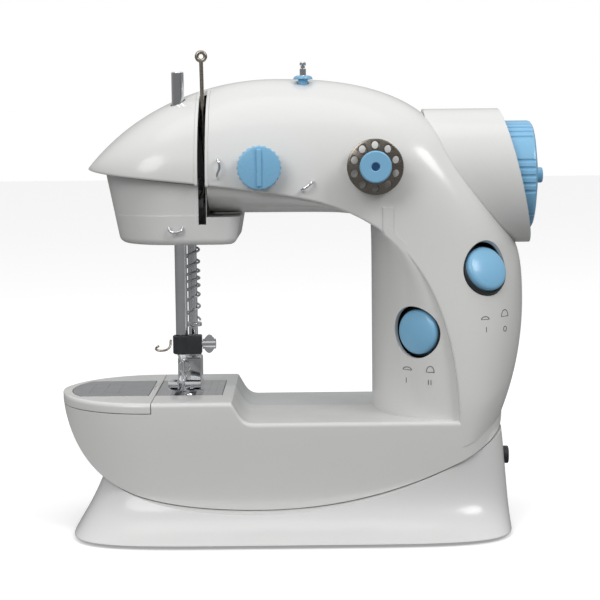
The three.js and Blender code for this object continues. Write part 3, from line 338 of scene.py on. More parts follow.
foot_rubber = rubbery("foot_rubber", (0.05, 0.052, 0.055), (0.09, 0.09, 0.09))
belt_rubber = rubbery("belt_rubber", (0.018, 0.018, 0.02), (0.05, 0.05, 0.05))
chrome = metallic("chrome_plate", (0.80, 0.81, 0.83), (0.66, 0.66, 0.67), (0.05, 0.14))
nickel = metallic("nickel_wire", (0.42, 0.38, 0.32), (0.24, 0.20, 0.16), (0.18, 0.34))
steel = metallic("satin_steel", (0.52, 0.53, 0.55), (0.42, 0.42, 0.43), (0.24, 0.4), (6, 1, 1), 0.008)
reel_metal = metallic("reel_steel", (0.26, 0.235, 0.205), (0.17, 0.15, 0.13), (0.2, 0.34))
bronze = metallic("bush_bronze", (0.55, 0.38, 0.17), (0.40, 0.28, 0.14), (0.35, 0.5))

print("finishes:", len(bpy.data.materials))

# %% [markdown]
# ## The outline of the body
#
# Seen from the front, the machine is one sweeping letter C: a raised band runs
# from the tip of the arm over the top, down the right side and into the hull of
# the bed. The designer's curves for it are a handful of Bezier arcs, and the
# same arcs drive every surface below, so that neighbouring pieces always meet.

# %% The designer's curves, in X and Z
BAND_OUTER = (
    ((-87.5, 147.5), (-68, 173), (-36, 184.5), (-7, 183.5)),
    ((-7, 183.5), (22, 183.5), (46, 177.5), (58, 160.5)),
    ((58, 160.5), (69, 143), (78, 129), (85, 121)),
    ((85, 121), (90.5, 115.5), (91.8, 107), (91.8, 92)),
    ((91.8, 92), (91.8, 72), (87, 56), (81.5, 43.5)),
)
BAND_INNER = (
    ((-87.5, 147.5), (-78, 144), (-40, 142.5), (-4, 136.2)),
    ((-4, 136.2), (34, 130), (60, 107), (62, 47)),
)
HULL_LOWER = (
    ((-100, 55.5), (-91, 25), (-72, 11), (-17, 11)),
    ((-17, 11), (20, 11), (52, 22), (80.5, 41)),
    ((80.5, 41), (81.4, 43), (82.2, 45), (83.1, 47)),
)
DECK_STEP = ((-28.5, 55.5), (-25.5, 50.5), (-24.5, 47), (-19.5, 47))
SEAM_Y = 4.0
DECK_Z, LOW_DECK_Z = 55.5, 47.0


def arc(points, t):
    """A point on a Bezier arc, t running from 0 to 1."""
    a, b, c, d = (Vector(p) for p in points)
    s = 1 - t
    return a * s**3 + b * 3 * s * s * t + c * 3 * s * t * t + d * t**3


def outer_edge(t):
    index = min(4, int(t * 5))
    return arc(BAND_OUTER[index], t * 5 - index)


def inner_edge(t):
    if t <= 0.2:
        return arc(BAND_INNER[0], t * 5)
    if t <= 0.9:
        return arc(BAND_INNER[1], (t - 0.2) / 0.7)
    return Vector((62, 47 - 11 * (t - 0.9) / 0.1))


def halve(sign_at, low, high):
    """The place between low and high where sign_at turns positive."""
    for _ in range(40):
        middle = (low + high) / 2
        if sign_at(middle) < 0:
            low = middle
        else:
            high = middle
    return (low + high) / 2


def height_on(arcs, x):
    """Height of a chain of arcs above a place along the machine."""
    for points in arcs:
        if x <= points[3][0]:
            return arc(points, halve(lambda t, p=points: arc(p, t).x - x, 0, 1)).y
    return arcs[-1][3][1]


def inner_x(z):
    """How far right the band's inner edge is, beside a height on the column."""
    return inner_edge(halve(lambda t: z - inner_edge(t).y, 0.2, 1)).x


print("arm rises to", round(max(outer_edge(i / 50).y for i in range(51)), 1), "mm")

# %% [markdown]
# ## Bending a grid into a skin
#
# A moulded shell is a surface that runs along a path with a changing section.
# A plain grid has the right layout for that: its columns become sections and
# its rows run along the path. Bending a grid keeps the mesh even, which matters
# on glossy plastic, where uneven faces show up as ripples in the reflections.

# %% The bent grid, and the solids that cut it
def bent(section, along, around):
    """A closed skin: section(u) lists `around` points, and u runs from 0 to 1."""
    bm = bmesh.new()
    bmesh.ops.create_grid(bm, x_segments=along, y_segments=around, size=1)
    sections = {}
    for vert in bm.verts:
        column = round((vert.co.x + 1) / 2 * along)
        row = round((vert.co.y + 1) / 2 * around)
        if column not in sections:
            sections[column] = section(column / along)
        vert.co = sections[column][row % around]
    bmesh.ops.remove_doubles(bm, verts=bm.verts, dist=1e-3)
    bmesh.ops.dissolve_degenerate(bm, edges=bm.edges, dist=1e-3)
    bmesh.ops.holes_fill(bm, edges=bm.edges, sides=0)
    bmesh.ops.recalc_face_normals(bm, faces=bm.faces)
    return bm


def solid(bm):
    """A drawing as a temporary object, for boolean work."""
    bmesh.ops.triangulate(bm, faces=[f for f in bm.faces if len(f.verts) > 4])
    mesh = bpy.data.meshes.new("workpiece")
    bm.to_mesh(mesh)
    bm.free()
    made = bpy.data.objects.new("workpiece", mesh)
    bpy.context.scene.collection.objects.link(made)
    return made


def combine(work, tools, operation):
    """Add, subtract or intersect temporary solids; the tools are used up."""
    for tool in tools:
        step = work.modifiers.new(operation, "BOOLEAN")
        step.operation = operation
        step.solver = "MANIFOLD"
        step.object = tool
        ready = work.evaluated_get(bpy.context.evaluated_depsgraph_get())
        mesh = bpy.data.meshes.new_from_object(ready)
        work.modifiers.clear()
        work.data = mesh
        bpy.data.objects.remove(tool)
    return work


def drawing(work):
    """Take a temporary solid back into a bmesh."""
    bm = bmesh.new()
    bm.from_mesh(work.data)
    bpy.data.objects.remove(work)
    return bm


def box_bm(x, y, z):
    bm = bmesh.new()
    bmesh.ops.create_cube(bm, size=1)
    for vert in bm.verts:
        vert.co = [lo + (hi - lo) * (c + 0.5) for c, (lo, hi) in zip(vert.co, (x, y, z))]
    return bm


def block(x, y, z):
    return solid(box_bm(x, y, z))


def turned_bm(profile, origin, axis, steps=64):
    """Spin a profile of (radius, distance along the axis) pairs into a solid."""
    bm = bmesh.new()
    verts = [bm.verts.new((r, 0, a)) for r, a in profile]
    edges = [bm.edges.new(pair) for pair in zip(verts, verts[1:])]
    if profile[0][0] > 1e-6:
        edges.append(bm.edges.new((verts[-1], verts[0])))
    bmesh.ops.spin(
        bm, geom=verts + edges, cent=(0, 0, 0), axis=(0, 0, 1), angle=math.tau,
        steps=steps, use_merge=True)
    bmesh.ops.remove_doubles(bm, verts=bm.verts, dist=1e-4)
    bmesh.ops.recalc_face_normals(bm, faces=bm.faces)
    turn = Vector((0, 0, 1)).rotation_difference(Vector(axis)).to_matrix().to_4x4()
    bmesh.ops.transform(bm, matrix=Matrix.Translation(origin) @ turn, verts=bm.verts)
    return bm


def rod(start, end, radius, steps=40):
    start, end = Vector(start), Vector(end)
    length = (end - start).length
    return solid(turned_bm(
        [(0, 0), (radius, 0), (radius, length), (0, length)], start, end - start, steps))


# %% [markdown]
# ## The raised band
#
# The band is the sweeping upper part of the casing. Its section is a quarter of
# a rounded square: full depth along the inner edge, curving back to the seam at
# the outer edge. It grows squarer where it passes in front of the wheel housing,
# and shallower towards the pointed tip. A small round softens the inner edge.

# %% Band and belly sections
ARM_FRONT, COLUMN_FRONT = -36.0, -40.0
ARM_REAR, COLUMN_REAR = 37.0, 40.0
WALL = 2.0
LEAN = 0.15


def smooth_step(value, low, high):
    t = min(1, max(0, (value - low) / (high - low)))
    return t * t * (3 - 2 * t)


def leaning(y, z):
    """Below the deck the sides of the body lean in towards the keel."""
    sink = min(1, max(0, (DECK_Z - z) / 44.5))
    return y * (1 - LEAN * sink**1.5)


def band_depth(t, side):
    near, far = (ARM_FRONT, COLUMN_FRONT) if side < 0 else (ARM_REAR, COLUMN_REAR)
    face = near + (far - near) * smooth_step(t, 0.4, 0.9)
    beyond = (-52 - (outer_edge(t).x + inner_edge(t).x) / 2) / 36
    fade = math.sqrt(1 - min(0.985, max(0, beyond)) ** 2)
    return abs(face - SEAM_Y) * fade


def band(side, inset, first=0.004):
    """One half of the band; `inset` shrinks it for the cavity behind its wall."""
    steps, rounding = 40, 5

    def section(u):
        t = first + (1 - first) * u
        outer, inner = outer_edge(t), inner_edge(t)
        across = outer - inner
        width = max(across.length, 0.5)
        across.normalize()
        depth = max(band_depth(t, side) - inset, 0.6)
        usable = max(width - 2 * inset, 0.4)
        power = 2 / (2 + 2.2 * math.exp(-(((t - 0.47) / 0.13) ** 2)))
        soft = min(0.9, usable / 4, depth / 4)
        shape = [(usable, -3.0)]
        for i in range(steps + 1):
            turn = math.pi / 2 * i / steps
            shape.append((
                soft + max(math.cos(turn), 0) ** power * (usable - soft),
                depth * math.sin(turn) ** power))
        for i in range(1, rounding + 1):
            turn = math.pi / 2 * i / rounding
            shape.append((soft * (1 - math.sin(turn)), depth - soft * (1 - math.cos(turn))))
        shape.append((0.0, -3.0))
        places = [inner + across * (inset + reach) for reach, _ in shape]
        return [
            Vector((p.x, leaning(SEAM_Y + side * out, p.y), p.y)) for p, (_, out) in zip(places, shape)]

    return solid(bent(section, 150, steps + rounding + 3))


def belly(side, inset):
    """The inner body: quarter rounds that start on the throat and rise to the band."""
    steps, tuck, step_back = 26, 4, 3

    def quarter(edge, far, depth):
        shape = [(edge, -3.0)]
        for i in range(steps + 1):
            turn = math.pi / 2 * i / steps
            shape.append((edge + (far - tuck - edge) * (1 - math.cos(turn)), depth * math.sin(turn)))
        return shape + [(far, depth), (far, -3.0)]

    def under_arm(u):
        x = -37 + inset + (44 + 37 - inset) * u
        far = max(height_on(BAND_INNER, min(x, 40)), 129.7) + tuck
        shape = quarter(128.7 + inset, far, band_depth(0.3, side) - step_back - inset)
        return [Vector((x, SEAM_Y + side * out, z)) for z, out in shape]

    def beside_column(u):
        z = 46 - inset + (131.7 - 46 + inset) * u
        far = max(inner_x(z), 32.3) + tuck
        shape = quarter(29.3 + inset, far, band_depth(0.8, side) - step_back - inset)
        return [Vector((x, SEAM_Y + side * out, z)) for x, out in shape]

    arm = solid(bent(under_arm, 40, steps + 4))
    column = solid(bent(beside_column, 40, steps + 4))
    return combine(arm, [column], "UNION")


# %% [markdown]
# ## The hull
#
# The bed is shaped like a boat: a rounded bow on the left, a rounded stern that
# runs into the column, sides that lean in towards the keel, and a deck with one
# step in it. The sections stand across the machine, and they are set closer
# together at the bow, the step and the stern, where the shape changes quickly.

# %% Hull sections
HALF_BEAM = 40.0
BOW_X, BOW_LENGTH = -62.0, 38.0
STERN_X, STERN_LENGTH = 62.0, 21.1


def beam(x, side, inset):
    """Where the hull's side is at deck height, front (-1) or rear (+1)."""
    if x < BOW_X:
        share = min(1, (BOW_X - x) / (BOW_LENGTH - inset))
        return side * (HALF_BEAM - inset) * math.sqrt(1 - share * share)
    if x > STERN_X:
        share = min(1, (x - STERN_X) / (STERN_LENGTH - inset))
        reach = HALF_BEAM - inset - side * SEAM_Y
        return SEAM_Y + side * reach * math.sqrt(1 - share * share)
    return side * (HALF_BEAM - inset)


def deck_height(x):
    if x <= DECK_STEP[0][0]:
        return DECK_Z
    return LOW_DECK_Z if x >= DECK_STEP[3][0] else height_on((DECK_STEP,), x)


def hull(inset=0.0):
    """The whole bed as one solid; with an inset, the cavity, open at the keel."""
    left, right = -100 + inset * 1.2 + 0.05, 83.05 - inset
    places = [left + (BOW_X - left) * (1 - math.cos(math.pi / 2 * i / 26)) for i in range(26)]
    places += [BOW_X + (-29 - BOW_X) * i / 8 for i in range(8)]
    places += [-29 + 10 * i / 14 for i in range(14)]
    places += [-19 + (STERN_X + 19) * i / 24 for i in range(24)]
    places += [STERN_X + (right - STERN_X) * math.sin(math.pi / 2 * i / 20) for i in range(21)]
    sides, rounding = 16, 6

    def section(u):
        x = places[round(u * (len(places) - 1))]
        top = deck_height(x) - inset
        keel = height_on(HULL_LOWER, x) - (6 if inset else 0)
        keel = min(keel, top - 0.02)
        soft = min(0.01 if inset else 1.8, (top - keel) / 3, abs(beam(x, 1, inset)) / 3)
        shape = {}
        for side in (1, -1):
            rim = beam(x, side, inset)
            shape[side] = [
                (rim - side * soft * (1 - math.sin(math.pi / 2 * i / rounding)),
                 top - soft * (1 - math.cos(math.pi / 2 * i / rounding)))
                for i in range(rounding + 1)]
            shape[side] += [
                (rim, top - soft - (top - soft - keel) * i / sides) for i in range(1, sides + 1)]
        loop = shape[-1] + shape[1][::-1]
        return [Vector((x, leaning(y, z), z)) for y, z in loop]

    return solid(bent(section, len(places) - 1, 2 * (sides + rounding + 1)))


# %% [markdown]
# ## Front and rear casing
#
# The body is moulded as two halves that meet on a vertical seam. Each half joins
# band, belly and hull, is hollowed to a wall of two millimetres, and then gets
# its openings: the slot of the take-up lever, the seats of the push buttons, and
# the holes of the tension dial, the bobbin spindle and the spool pin. Boolean
# steps are the clearest way, since each one is a cut the mould maker would name.

# %% Shared cutters
GAP = 0.3
SLOT_X, SLOT_HALF = -39.0, 1.5
dial_low, dial_high = span("tension_dial")
DIAL_X, DIAL_Z = (dial_low.x + dial_high.x) / 2, (dial_low.z + dial_high.z) / 2
reel_low, reel_high = span("front_bobbin")
REEL_X = (reel_low.x + reel_high.x) / 2
BUTTONS = {
    "power": (Vector((72.6, -31.2, 106.5)), Vector((0.47, -0.79, 0.39)).normalized()),
    "speed": (Vector((46.8, -29.2, 81.8)), Vector((-0.65, -0.76, 0)).normalized()),
}


def half_space(side):
    return block((-200, 200), (-120, SEAM_Y) if side < 0 else (SEAM_Y + GAP, 120), (-5, 260))


def button_seat(centre, normal):
    return rod(centre - normal * 10, centre + normal * 20, 10.5, 72)


def throat_fillet(side):
    y = (-12, SEAM_Y) if side < 0 else (SEAM_Y, 16)
    corner = block((24.3, 31), y, (123.7, 131))
    return combine(corner, [rod((24.3, y[0] - 1, 123.7), (24.3, y[1] + 1, 123.7), 5, 96)], "DIFFERENCE")


def slot_tool(half_width, front=-60, rear=-5):
    return block((SLOT_X - half_width, SLOT_X + half_width), (front, rear), (125.5, 200))


def casing(side):
    body = combine(band(side, 0), [belly(side, 0), hull(), throat_fillet(side)], "UNION")
    body = combine(body, [half_space(side)], "INTERSECT")
    hollows = [band(side, WALL, 0.05), belly(side, WALL), hull(WALL)]
    pockets = [
        rod((50, 0, 143), (99.4, 0, 143), 27.9, 128),
        block((-65, -37.3), (-27, 25), (120, 150)),
        block((-105, -60), (-60, 60), (51.2, 60.5)),
        block((-60.1, -32.7), (-20.3, 20.3), (54.0, 60.5)),
        block((-58, -36), (-17, 17), (30, 70)),
    ]
    return combine(body, hollows + pockets, "DIFFERENCE")


# %% The two halves
front = casing(-1)
lips = combine(band(-1, -0.45), [slot_tool(2.7)], "INTERSECT")
lips = combine(lips, [band(-1, WALL, 0.05)], "DIFFERENCE")
front = combine(front, [lips], "UNION")
front = combine(front, [
    slot_tool(SLOT_HALF),
    button_seat(*BUTTONS["power"]),
    button_seat(*BUTTONS["speed"]),
    rod((DIAL_X, -60, DIAL_Z), (DIAL_X, -20, DIAL_Z), 1.9),
    rod((REEL_X, -60, DIAL_Z), (REEL_X, -20, DIAL_Z), 2.4),
    rod((1.3, -8, 165), (1.3, -8, 200), 2.3),
    rod((-49.5, -10, 160), (-49.5, -10, 200), 3.1),
], "DIFFERENCE")
front_casing = even_normals(piece(
    "front_casing", drawing(front), "machine", casing_white, ["front_shell"], 32, 0.02))
# The rear half wears the darker copy of the white, which paints in the arm's shadow.
rear_casing = even_normals(piece(
    "rear_casing", drawing(casing(1)), "machine", rear_white_painted_shade, ["rear_shell"], 32, 0.02))
print("casing faces:", len(front_casing.data.polygons), "+", len(rear_casing.data.polygons))

# %% [markdown]
# ## More ways to draw
#
# Three more shapes come back again and again: a flat outline pushed along one
# axis, a wire that follows a few points, and a closed ring of wire. The wire is
# a Bezier curve with a round bevel, turned into a mesh as soon as it is drawn.

# %% Prisms and wires
def prism(points, push, axis="Y"):
    """An outline pushed along an axis; the points are its other two coordinates."""
    index = "XYZ".index(axis)
    bm = bmesh.new()

    def ring(level):
        corners = [list(point) for point in points]
        for corner in corners:
            corner.insert(index, level)
        return [bm.verts.new(corner) for corner in corners]

    near, far = ring(push[0]), ring(push[1])
    bm.faces.new(near)
    bm.faces.new(far)
    for i in range(len(near)):
        bm.faces.new((near[i - 1], near[i], far[i], far[i - 1]))
    bmesh.ops.recalc_face_normals(bm, faces=bm.faces)
    return solid(bm)


def wire(points, radius, closed=False, straight=False):
    """A round wire through the points, as a temporary solid."""
    curve = bpy.data.curves.new("wire", "CURVE")
    curve.dimensions = "3D"
    curve.bevel_depth = radius
    curve.bevel_resolution = 5
    curve.resolution_u = 10
    curve.use_fill_caps = not closed
    spline = curve.splines.new("POLY" if straight else "BEZIER")
    spots = spline.points if straight else spline.bezier_points
    spots.add(len(points) - 1)
    for spot, place in zip(spots, points):
        if straight:
            spot.co = (*place, 1)
        else:
            spot.co = place
            spot.handle_left_type = "AUTO"
            spot.handle_right_type = "AUTO"
    spline.use_cyclic_u = closed
    holder = bpy.data.objects.new("wire", curve)
    bpy.context.scene.collection.objects.link(holder)
    ready = holder.evaluated_get(bpy.context.evaluated_depsgraph_get())
    bm = bmesh.new()
    bm.from_mesh(bpy.data.meshes.new_from_object(ready))
    bpy.data.objects.remove(holder)
    bmesh.ops.remove_doubles(bm, verts=bm.verts, dist=1e-4)
    bmesh.ops.recalc_face_normals(bm, faces=bm.faces)
    return solid(bm)


def eye(centre, radius, thickness):
    """A closed ring of wire that stands upright, facing the front."""
    turns = [math.tau * i / 12 for i in range(12)]
    centre = Vector(centre)
    return wire([centre + Vector((math.cos(t), 0, math.sin(t))) * radius for t in turns], thickness, True)


def rounded_block(x, y, z, radius):
    """A block with every edge rounded."""
    bm = box_bm(x, y, z)
    bmesh.ops.bevel(
        bm, geom=bm.edges[:], offset=radius, segments=4, affect="EDGES", profile=0.5)
    return solid(bm)


def turned(profile, origin, axis, steps=64):
    return solid(turned_bm(profile, origin, axis, steps))


ALONG_X, ALONG_Y, ALONG_Z = (1, 0, 0), (0, 1, 0), (0, 0, 1)

# %% [markdown]
# ## The head housing
#
# The housing under the tip of the arm is a half-round block with a flat right
# side. Its sections are plan outlines stacked in height: they lean out towards
# the top, and a step of half a millimetre crosses the front where the mould
# changes. The roof is cut to the lower edge of the band.

# %% Stack plan outlines into the head
HEAD_LOW, HEAD_STEP = 117.4, 129.0
HEAD_ROOF = 128.4


def head_ring(z, inset):
    rise = (z - HEAD_LOW) / 30
    left = -74.5 - 6 * rise + inset
    right = -26 + 2 * min(rise / 0.38, 1) - inset
    proud = 0.5 if z < HEAD_STEP else 0.0
    front, rear = -32 - proud + inset, 30 - inset
    middle, half = (front + rear) / 2, (rear - front) / 2
    corner = 5.0

    def rounded(x, y, start):
        turns = [start + math.pi / 2 * i / 8 for i in range(9)]
        return [(x + corner * math.cos(t), y + corner * math.sin(t)) for t in turns]

    ring = rounded(right - corner, front + corner, -math.pi / 2)
    ring += rounded(right - corner, rear - corner, 0)
    ring += [(-50 + (right - corner + 50) * (1 - i / 6), rear) for i in range(1, 6)]
    turns = [math.pi / 2 + math.pi * i / 48 for i in range(49)]
    ring += [(-50 + (-50 - left) * math.cos(t), middle + half * math.sin(t)) for t in turns]
    ring += [(-50 + (right - corner + 50) * i / 6, front) for i in range(1, 6)]
    return [Vector((x, y, z)) for x, y in ring]


def head_block(inset, top):
    fillet = 2.5
    low = HEAD_LOW + inset
    rows = [(low + fillet * (1 - math.cos(math.pi / 2 * i / 6)),
             inset + fillet * (1 - math.sin(math.pi / 2 * i / 6))) for i in range(7)]
    rows += [(low + fillet + (HEAD_STEP - 0.02 - low - fillet) * i / 6, inset) for i in range(1, 7)]
    rows += [(HEAD_STEP + (top - HEAD_STEP) * i / 14, inset) for i in range(15)]
    around = len(head_ring(low, 0))
    return solid(bent(lambda u: head_ring(*rows[round(u * (len(rows) - 1))]), len(rows) - 1, around))


def under_band(lift):
    """The space that the head may fill, below the band and left of the belly."""
    rim = [(-80 + 42.7 * i / 10) for i in range(11)]
    points = [(-90, 147.1 + lift)] + [(x, height_on(BAND_INNER, x) - 0.3 + lift) for x in rim]
    points += [(-37.3 + lift, HEAD_ROOF + lift), (-15, HEAD_ROOF + lift), (-15, 100), (-90, 100)]
    return prism(points, (-60, 60))


head = combine(head_block(0, 151), [under_band(0)], "INTERSECT")
hollow = combine(head_block(WALL, 155), [under_band(4)], "INTERSECT")
lid = block((-37.3, -20), (-40, 13), (HEAD_ROOF - WALL, 160))
head = combine(head, [
    combine(hollow, [lid], "DIFFERENCE"),
    band(-1, -0.15), band(1, -0.15),
    block((-53.5, -41.4), (-14, 5.7), (110, 122)),
    slot_tool(SLOT_HALF),
    rod((-57.5, 20, 127), (-57.5, 40, 127), 2.4),
], "DIFFERENCE")
head_housing = even_normals(piece(
    "head_housing_skin", drawing(head), "machine", head_white, ["head_housing"], 30, 0.01))
print("head faces:", len(head_housing.data.polygons))

# %% [markdown]
# ## The wheel housing and the flared base
#
# The wheel housing is a short tube whose open end is cut at a slant, so that the
# handwheel shows. The base is a rounded rectangle that spreads towards the
# ground; its section is a superellipse, which is squarer than an ellipse and has
# no seam where a straight side would meet a corner. The hull sits down into it.

# %% Wheel housing
HOOD = 27.6
hood_top = 143 + HOOD
slope = 12.4 / 52
tube = turned(
    [(HOOD - WALL, 50.3), (HOOD, 50.3), (HOOD, 96), (HOOD - WALL, 96)], (0, 0, 143), ALONG_X, 160)
beyond = prism(
    [(81 - 10 * slope, hood_top + 10), (140, hood_top + 10),
     (140, hood_top - 70), (81 + 70 * slope, hood_top - 70)], (-60, 60))
tube = combine(tube, [beyond, block((49, 60), (-17, 17), (103, 131))], "DIFFERENCE")
wheel_housing = even_normals(piece(
    "wheel_housing_skin", drawing(tube), "machine", casing_white,
    ["wheel_housing"], 30, 0.01))

# %% Base skirt
BASE_LOW, BASE_TOP = 1.5, 42.0


def base_ring(z, inset, around=144):
    flare = min(1, max(0, (BASE_TOP - z) / (BASE_TOP - BASE_LOW)))
    left = -93.5 + 16 * (1 - flare**1.6) + inset
    right = 84.5 - 3.5 * (1 - flare**0.8) - inset
    depth = 54 - 16.5 * (1 - flare**5.5) - inset

    def squared(value):
        return math.copysign(abs(value) ** 0.38, value)

    turns = [math.tau * i / around for i in range(around)]
    return [Vector((
        (left + right) / 2 + (right - left) / 2 * squared(math.cos(t)),
        depth * squared(math.sin(t)), z)) for t in turns]


def base_block(inset, low, high):
    rows = 40
    return solid(bent(lambda u: base_ring(low + (high - low) * u**1.7, inset), rows, 144))


def above_keel(grow):
    """Everything above the hull's lower edge, lowered by a clearance."""
    points = []
    for points_of_arc in HULL_LOWER[:2]:
        for i in range(25):
            place = arc(points_of_arc, i / 25)
            points.append((place.x + math.copysign(grow, place.x), place.y - grow))
    points += [(80.5 + grow, 41 - grow), (83.1 + grow, 47), (-100 - grow, 55.5)]
    return prism(points, (-60, 60))


well = combine(base_block(WALL, BASE_LOW - 1, BASE_TOP + 1), [above_keel(GAP + WALL)], "DIFFERENCE")
skirt = combine(base_block(0, BASE_LOW, BASE_TOP), [
    well, above_keel(GAP),
    block((-58, 36), (-30, 30), (4, 60)),
    rod((70, -16, 29), (100, -16, 29), 3.9),
], "DIFFERENCE")
base_skirt = even_normals(piece(
    "base_skirt_skin", drawing(skirt), "machine", base_white, ["base_skirt"], 30, 0.01))
print("wheel housing and base faces:", len(wheel_housing.data.polygons), "+", len(base_skirt.data.polygons))

# %% [markdown]
# ## What lies in and under the bed
#
# The bobbin cover is simply the bow of the hull, sliced off, with a shallow
# recess for its steel inlay. The needle plate has a hole for the needle and two
# windows for the feed dog, whose teeth are cut as a row of wedges. Underneath
# are the battery door, with ridges for a thumb, and four rubber feet.

# %% Covers and plates
def bow_outline(inset, right, half):
    """Plan of the inlay: the bow's ellipse, cut straight at the sides and right."""
    turns = [math.pi / 2 + math.pi * i / 96 for i in range(97)]
    outline = [
        ((BOW_LENGTH - inset) * math.cos(t) + BOW_X, (HALF_BEAM - inset) * math.sin(t)) for t in turns]
    outline = [(x, y) for x, y in outline if abs(y) <= half]
    x_end = BOW_X + (BOW_LENGTH - inset) * -math.sqrt(1 - (half / (HALF_BEAM - inset)) ** 2)
    return [(right, half), (x_end, half)] + outline + [(x_end, -half), (right, -half)]


cover = combine(hull(), [block((-105, -60.3), (-60, 60), (51.5, 60))], "INTERSECT")
cover = combine(cover, [
    prism(bow_outline(3.7, -62.7, 20.3), (54.0, 58), "Z"),
    rod((-61.5, -6, 55.9), (-61.5, 6, 55.9), 0.9),
], "DIFFERENCE")
even_normals(piece(
    "bobbin_cover_skin", drawing(cover), "cover", casing_white, ["bobbin_cover"], 30, 0.01))
inlay = combine(
    prism(bow_outline(4, -63, 20), (54.3, 55.5), "Z"),
    [rod((-88 + 6 * i, -12, 55.62), (-88 + 6 * i, 12, 55.62), 0.3) for i in range(3)], "DIFFERENCE")
piece("cover_inlay", drawing(inlay), "cover", steel, ["cover_plate"], 30)

plate = combine(block((-59.8, -33), (-20, 20), (54.3, 55.5)), [
    rod((-49.5, -10, 50), (-49.5, -10, 60), 1.3),
    *(block((x - 1.4, x + 1.4), (-5.6, 9.6), (50, 60)) for x in (-52.5, -46.5)),
    *(block((-42 + 3 * i, -41.8 + 3 * i), (-16, 16), (55.35, 60)) for i in range(3)),
    *(turned([(0, 0), (1.6, 0), (2.2, 1.2), (0, 1.2)], (-46.5, y, 54.6), ALONG_Z, 40) for y in (-17, 17)),
], "DIFFERENCE")
piece("needle_plate_skin", drawing(plate), "machine", chrome, ["needle_plate"], 30)

teeth = []
for i in range(9):
    y = -3.4 + 1.25 * i
    teeth.append(prism([(y, 56.5), (y + 0.9, 56.5), (y + 0.2, 55.5)], (-56, -43), "X"))
dog = combine(block((-53.6, -45.4), (-4, 8), (49.2, 52)), [
    block((x - 1.1, x + 1.1), (-4, 8), (51, 56.1)) for x in (-52.5, -46.5)], "UNION")
piece("feed_dog_skin", drawing(combine(dog, teeth, "DIFFERENCE")), "feed", steel, ["feed_dog"], 30)

# %% Battery door and feet
ridges = [rod((x, -21, 1.45), (x, -12, 1.45), 0.55, 24) for x in range(-18, -6, 2)]
hatch = combine(rounded_block((-40, 14), (-22, 22), (1.5, 4), 0.5), ridges, "DIFFERENCE")
piece("battery_hatch", drawing(hatch), "door", base_white, ["battery_door"], 30)
for number, (x, y) in enumerate([(-70, -41), (-70, 41), (60, -41), (60, 41)], 1):
    pad = turned(
        [(0, 0), (4.4, 0), (4.9, 0.25), (5, 0.7), (4.9, 1.2), (2, 1.2), (2, 4.4), (1.7, 4.5), (0, 4.5)],
        (x, y, 0), ALONG_Z, 48)
    piece(f"rubber_foot_{number}", drawing(pad), "machine", foot_rubber, [f"foot_{number}"])
print("bed fittings done")

# %% [markdown]
# ## The handwheel
#
# The wheel is a drum with six groups of five grooves around its rim, a crowned
# face and a small boss in the middle. Spinning a profile gives the drum, and a
# loop lays the grooves. The profile has small rounds at both rims, because a
# sharp moulded edge would catch no light.

# %% Drum and grooves
wheel = turned(
    [(0, 94), (3.3, 94), (3.3, 84), (8, 84), (8, 90), (19.5, 90), (19.5, 77), (22.1, 77), (22.5, 77.4),
     (22.5, 93.2), (22.2, 94.2), (21.3, 94.8), (12, 96.4), (4.4, 96.9), (3.6, 97.1), (3.2, 97.6),
     (3.2, 99.4), (2.9, 99.85), (2.3, 100), (0, 100)], (0, 0, 143), ALONG_X, 168)
grooves = []
for group in range(6):
    for i in range(-2, 3):
        turn = group * math.tau / 6 + i * 0.14 + math.pi
        y, z = math.cos(turn) * 22.8, 143 + math.sin(turn) * 22.8
        grooves.append(rod((76, y, z), (96, y, z), 0.85, 20))
wheel = combine(wheel, grooves, "DIFFERENCE")
handwheel = even_normals(piece(
    "handwheel_skin", drawing(wheel), "drive", trim_blue, ["handwheel"], 30, 0.005))
print("handwheel faces:", len(handwheel.data.polygons))

# %% [markdown]
# ## Needle, take-up lever and presser foot
#
# These are turned, bent and milled parts. The lever and the guides are wire, the
# thumb screw is a flat two-lobed plate on a stem, and the spring is a helix drawn
# at one length, though the real one squashes when the presser bar rises. The
# foot's sole curls up at the toes.

# %% The needle group
BAR = (-49.5, -10.0)
needle_bar = turned(
    [(0, 68.5), (1.2, 68.5), (2.5, 72), (2.5, 185.9), (2.2, 186.3), (0, 186.4)], (*BAR, 0), ALONG_Z, 48)
piece("needle_bar_skin", drawing(needle_bar), "needle", chrome, ["needle_bar"])

clamp = combine(
    turned([(0, 71.3), (3.4, 71.3), (3.8, 71.7), (3.8, 78.6), (3.4, 79), (0, 79)], (*BAR, 0), ALONG_Z, 48),
    [rounded_block((-48.5, -41.4), (-13, -7), (71.3, 79), 0.5)], "UNION")
clamp = combine(clamp, [
    rod((*BAR, 60), (*BAR, 90), 2.8), rod((-47.5, -10, 75.3), (-40, -10, 75.3), 1.5)], "DIFFERENCE")
piece("needle_clamp_skin", drawing(clamp), "needle", charcoal, ["needle_clamp"])

lobes = []
for i in range(64):
    turn = math.tau * i / 64
    reach = 1.9 + 1.8 * abs(math.sin(turn)) ** 1.5
    lobes.append((-38.35 + 2.75 * math.cos(turn), 75.3 + reach * math.sin(turn)))
thumb = combine(prism(lobes, (-11.3, -8.7)), [
    turned([(0, -46), (1.2, -46), (1.2, -41), (2.1, -41), (2.1, -35.7), (1.7, -35.6), (0, -35.6)],
           (0, -10, 75.3), ALONG_X, 40)], "UNION")
piece("thumb_screw", drawing(thumb), "clamp_screw", chrome, ["clamp_screw"])

needle = turned(
    [(0, 50), (0.2, 51.2), (0.45, 53.5), (0.45, 60), (0.6, 61), (0.6, 68.1), (0, 68.2)],
    (*BAR, 0), ALONG_Z, 32)
needle = combine(needle, [rod((-49.5, -12, 53.6), (-49.5, -8, 53.6), 0.16, 12)], "DIFFERENCE")
piece("needle_skin", drawing(needle), "needle", chrome, ["needle"], weld=1e-4)

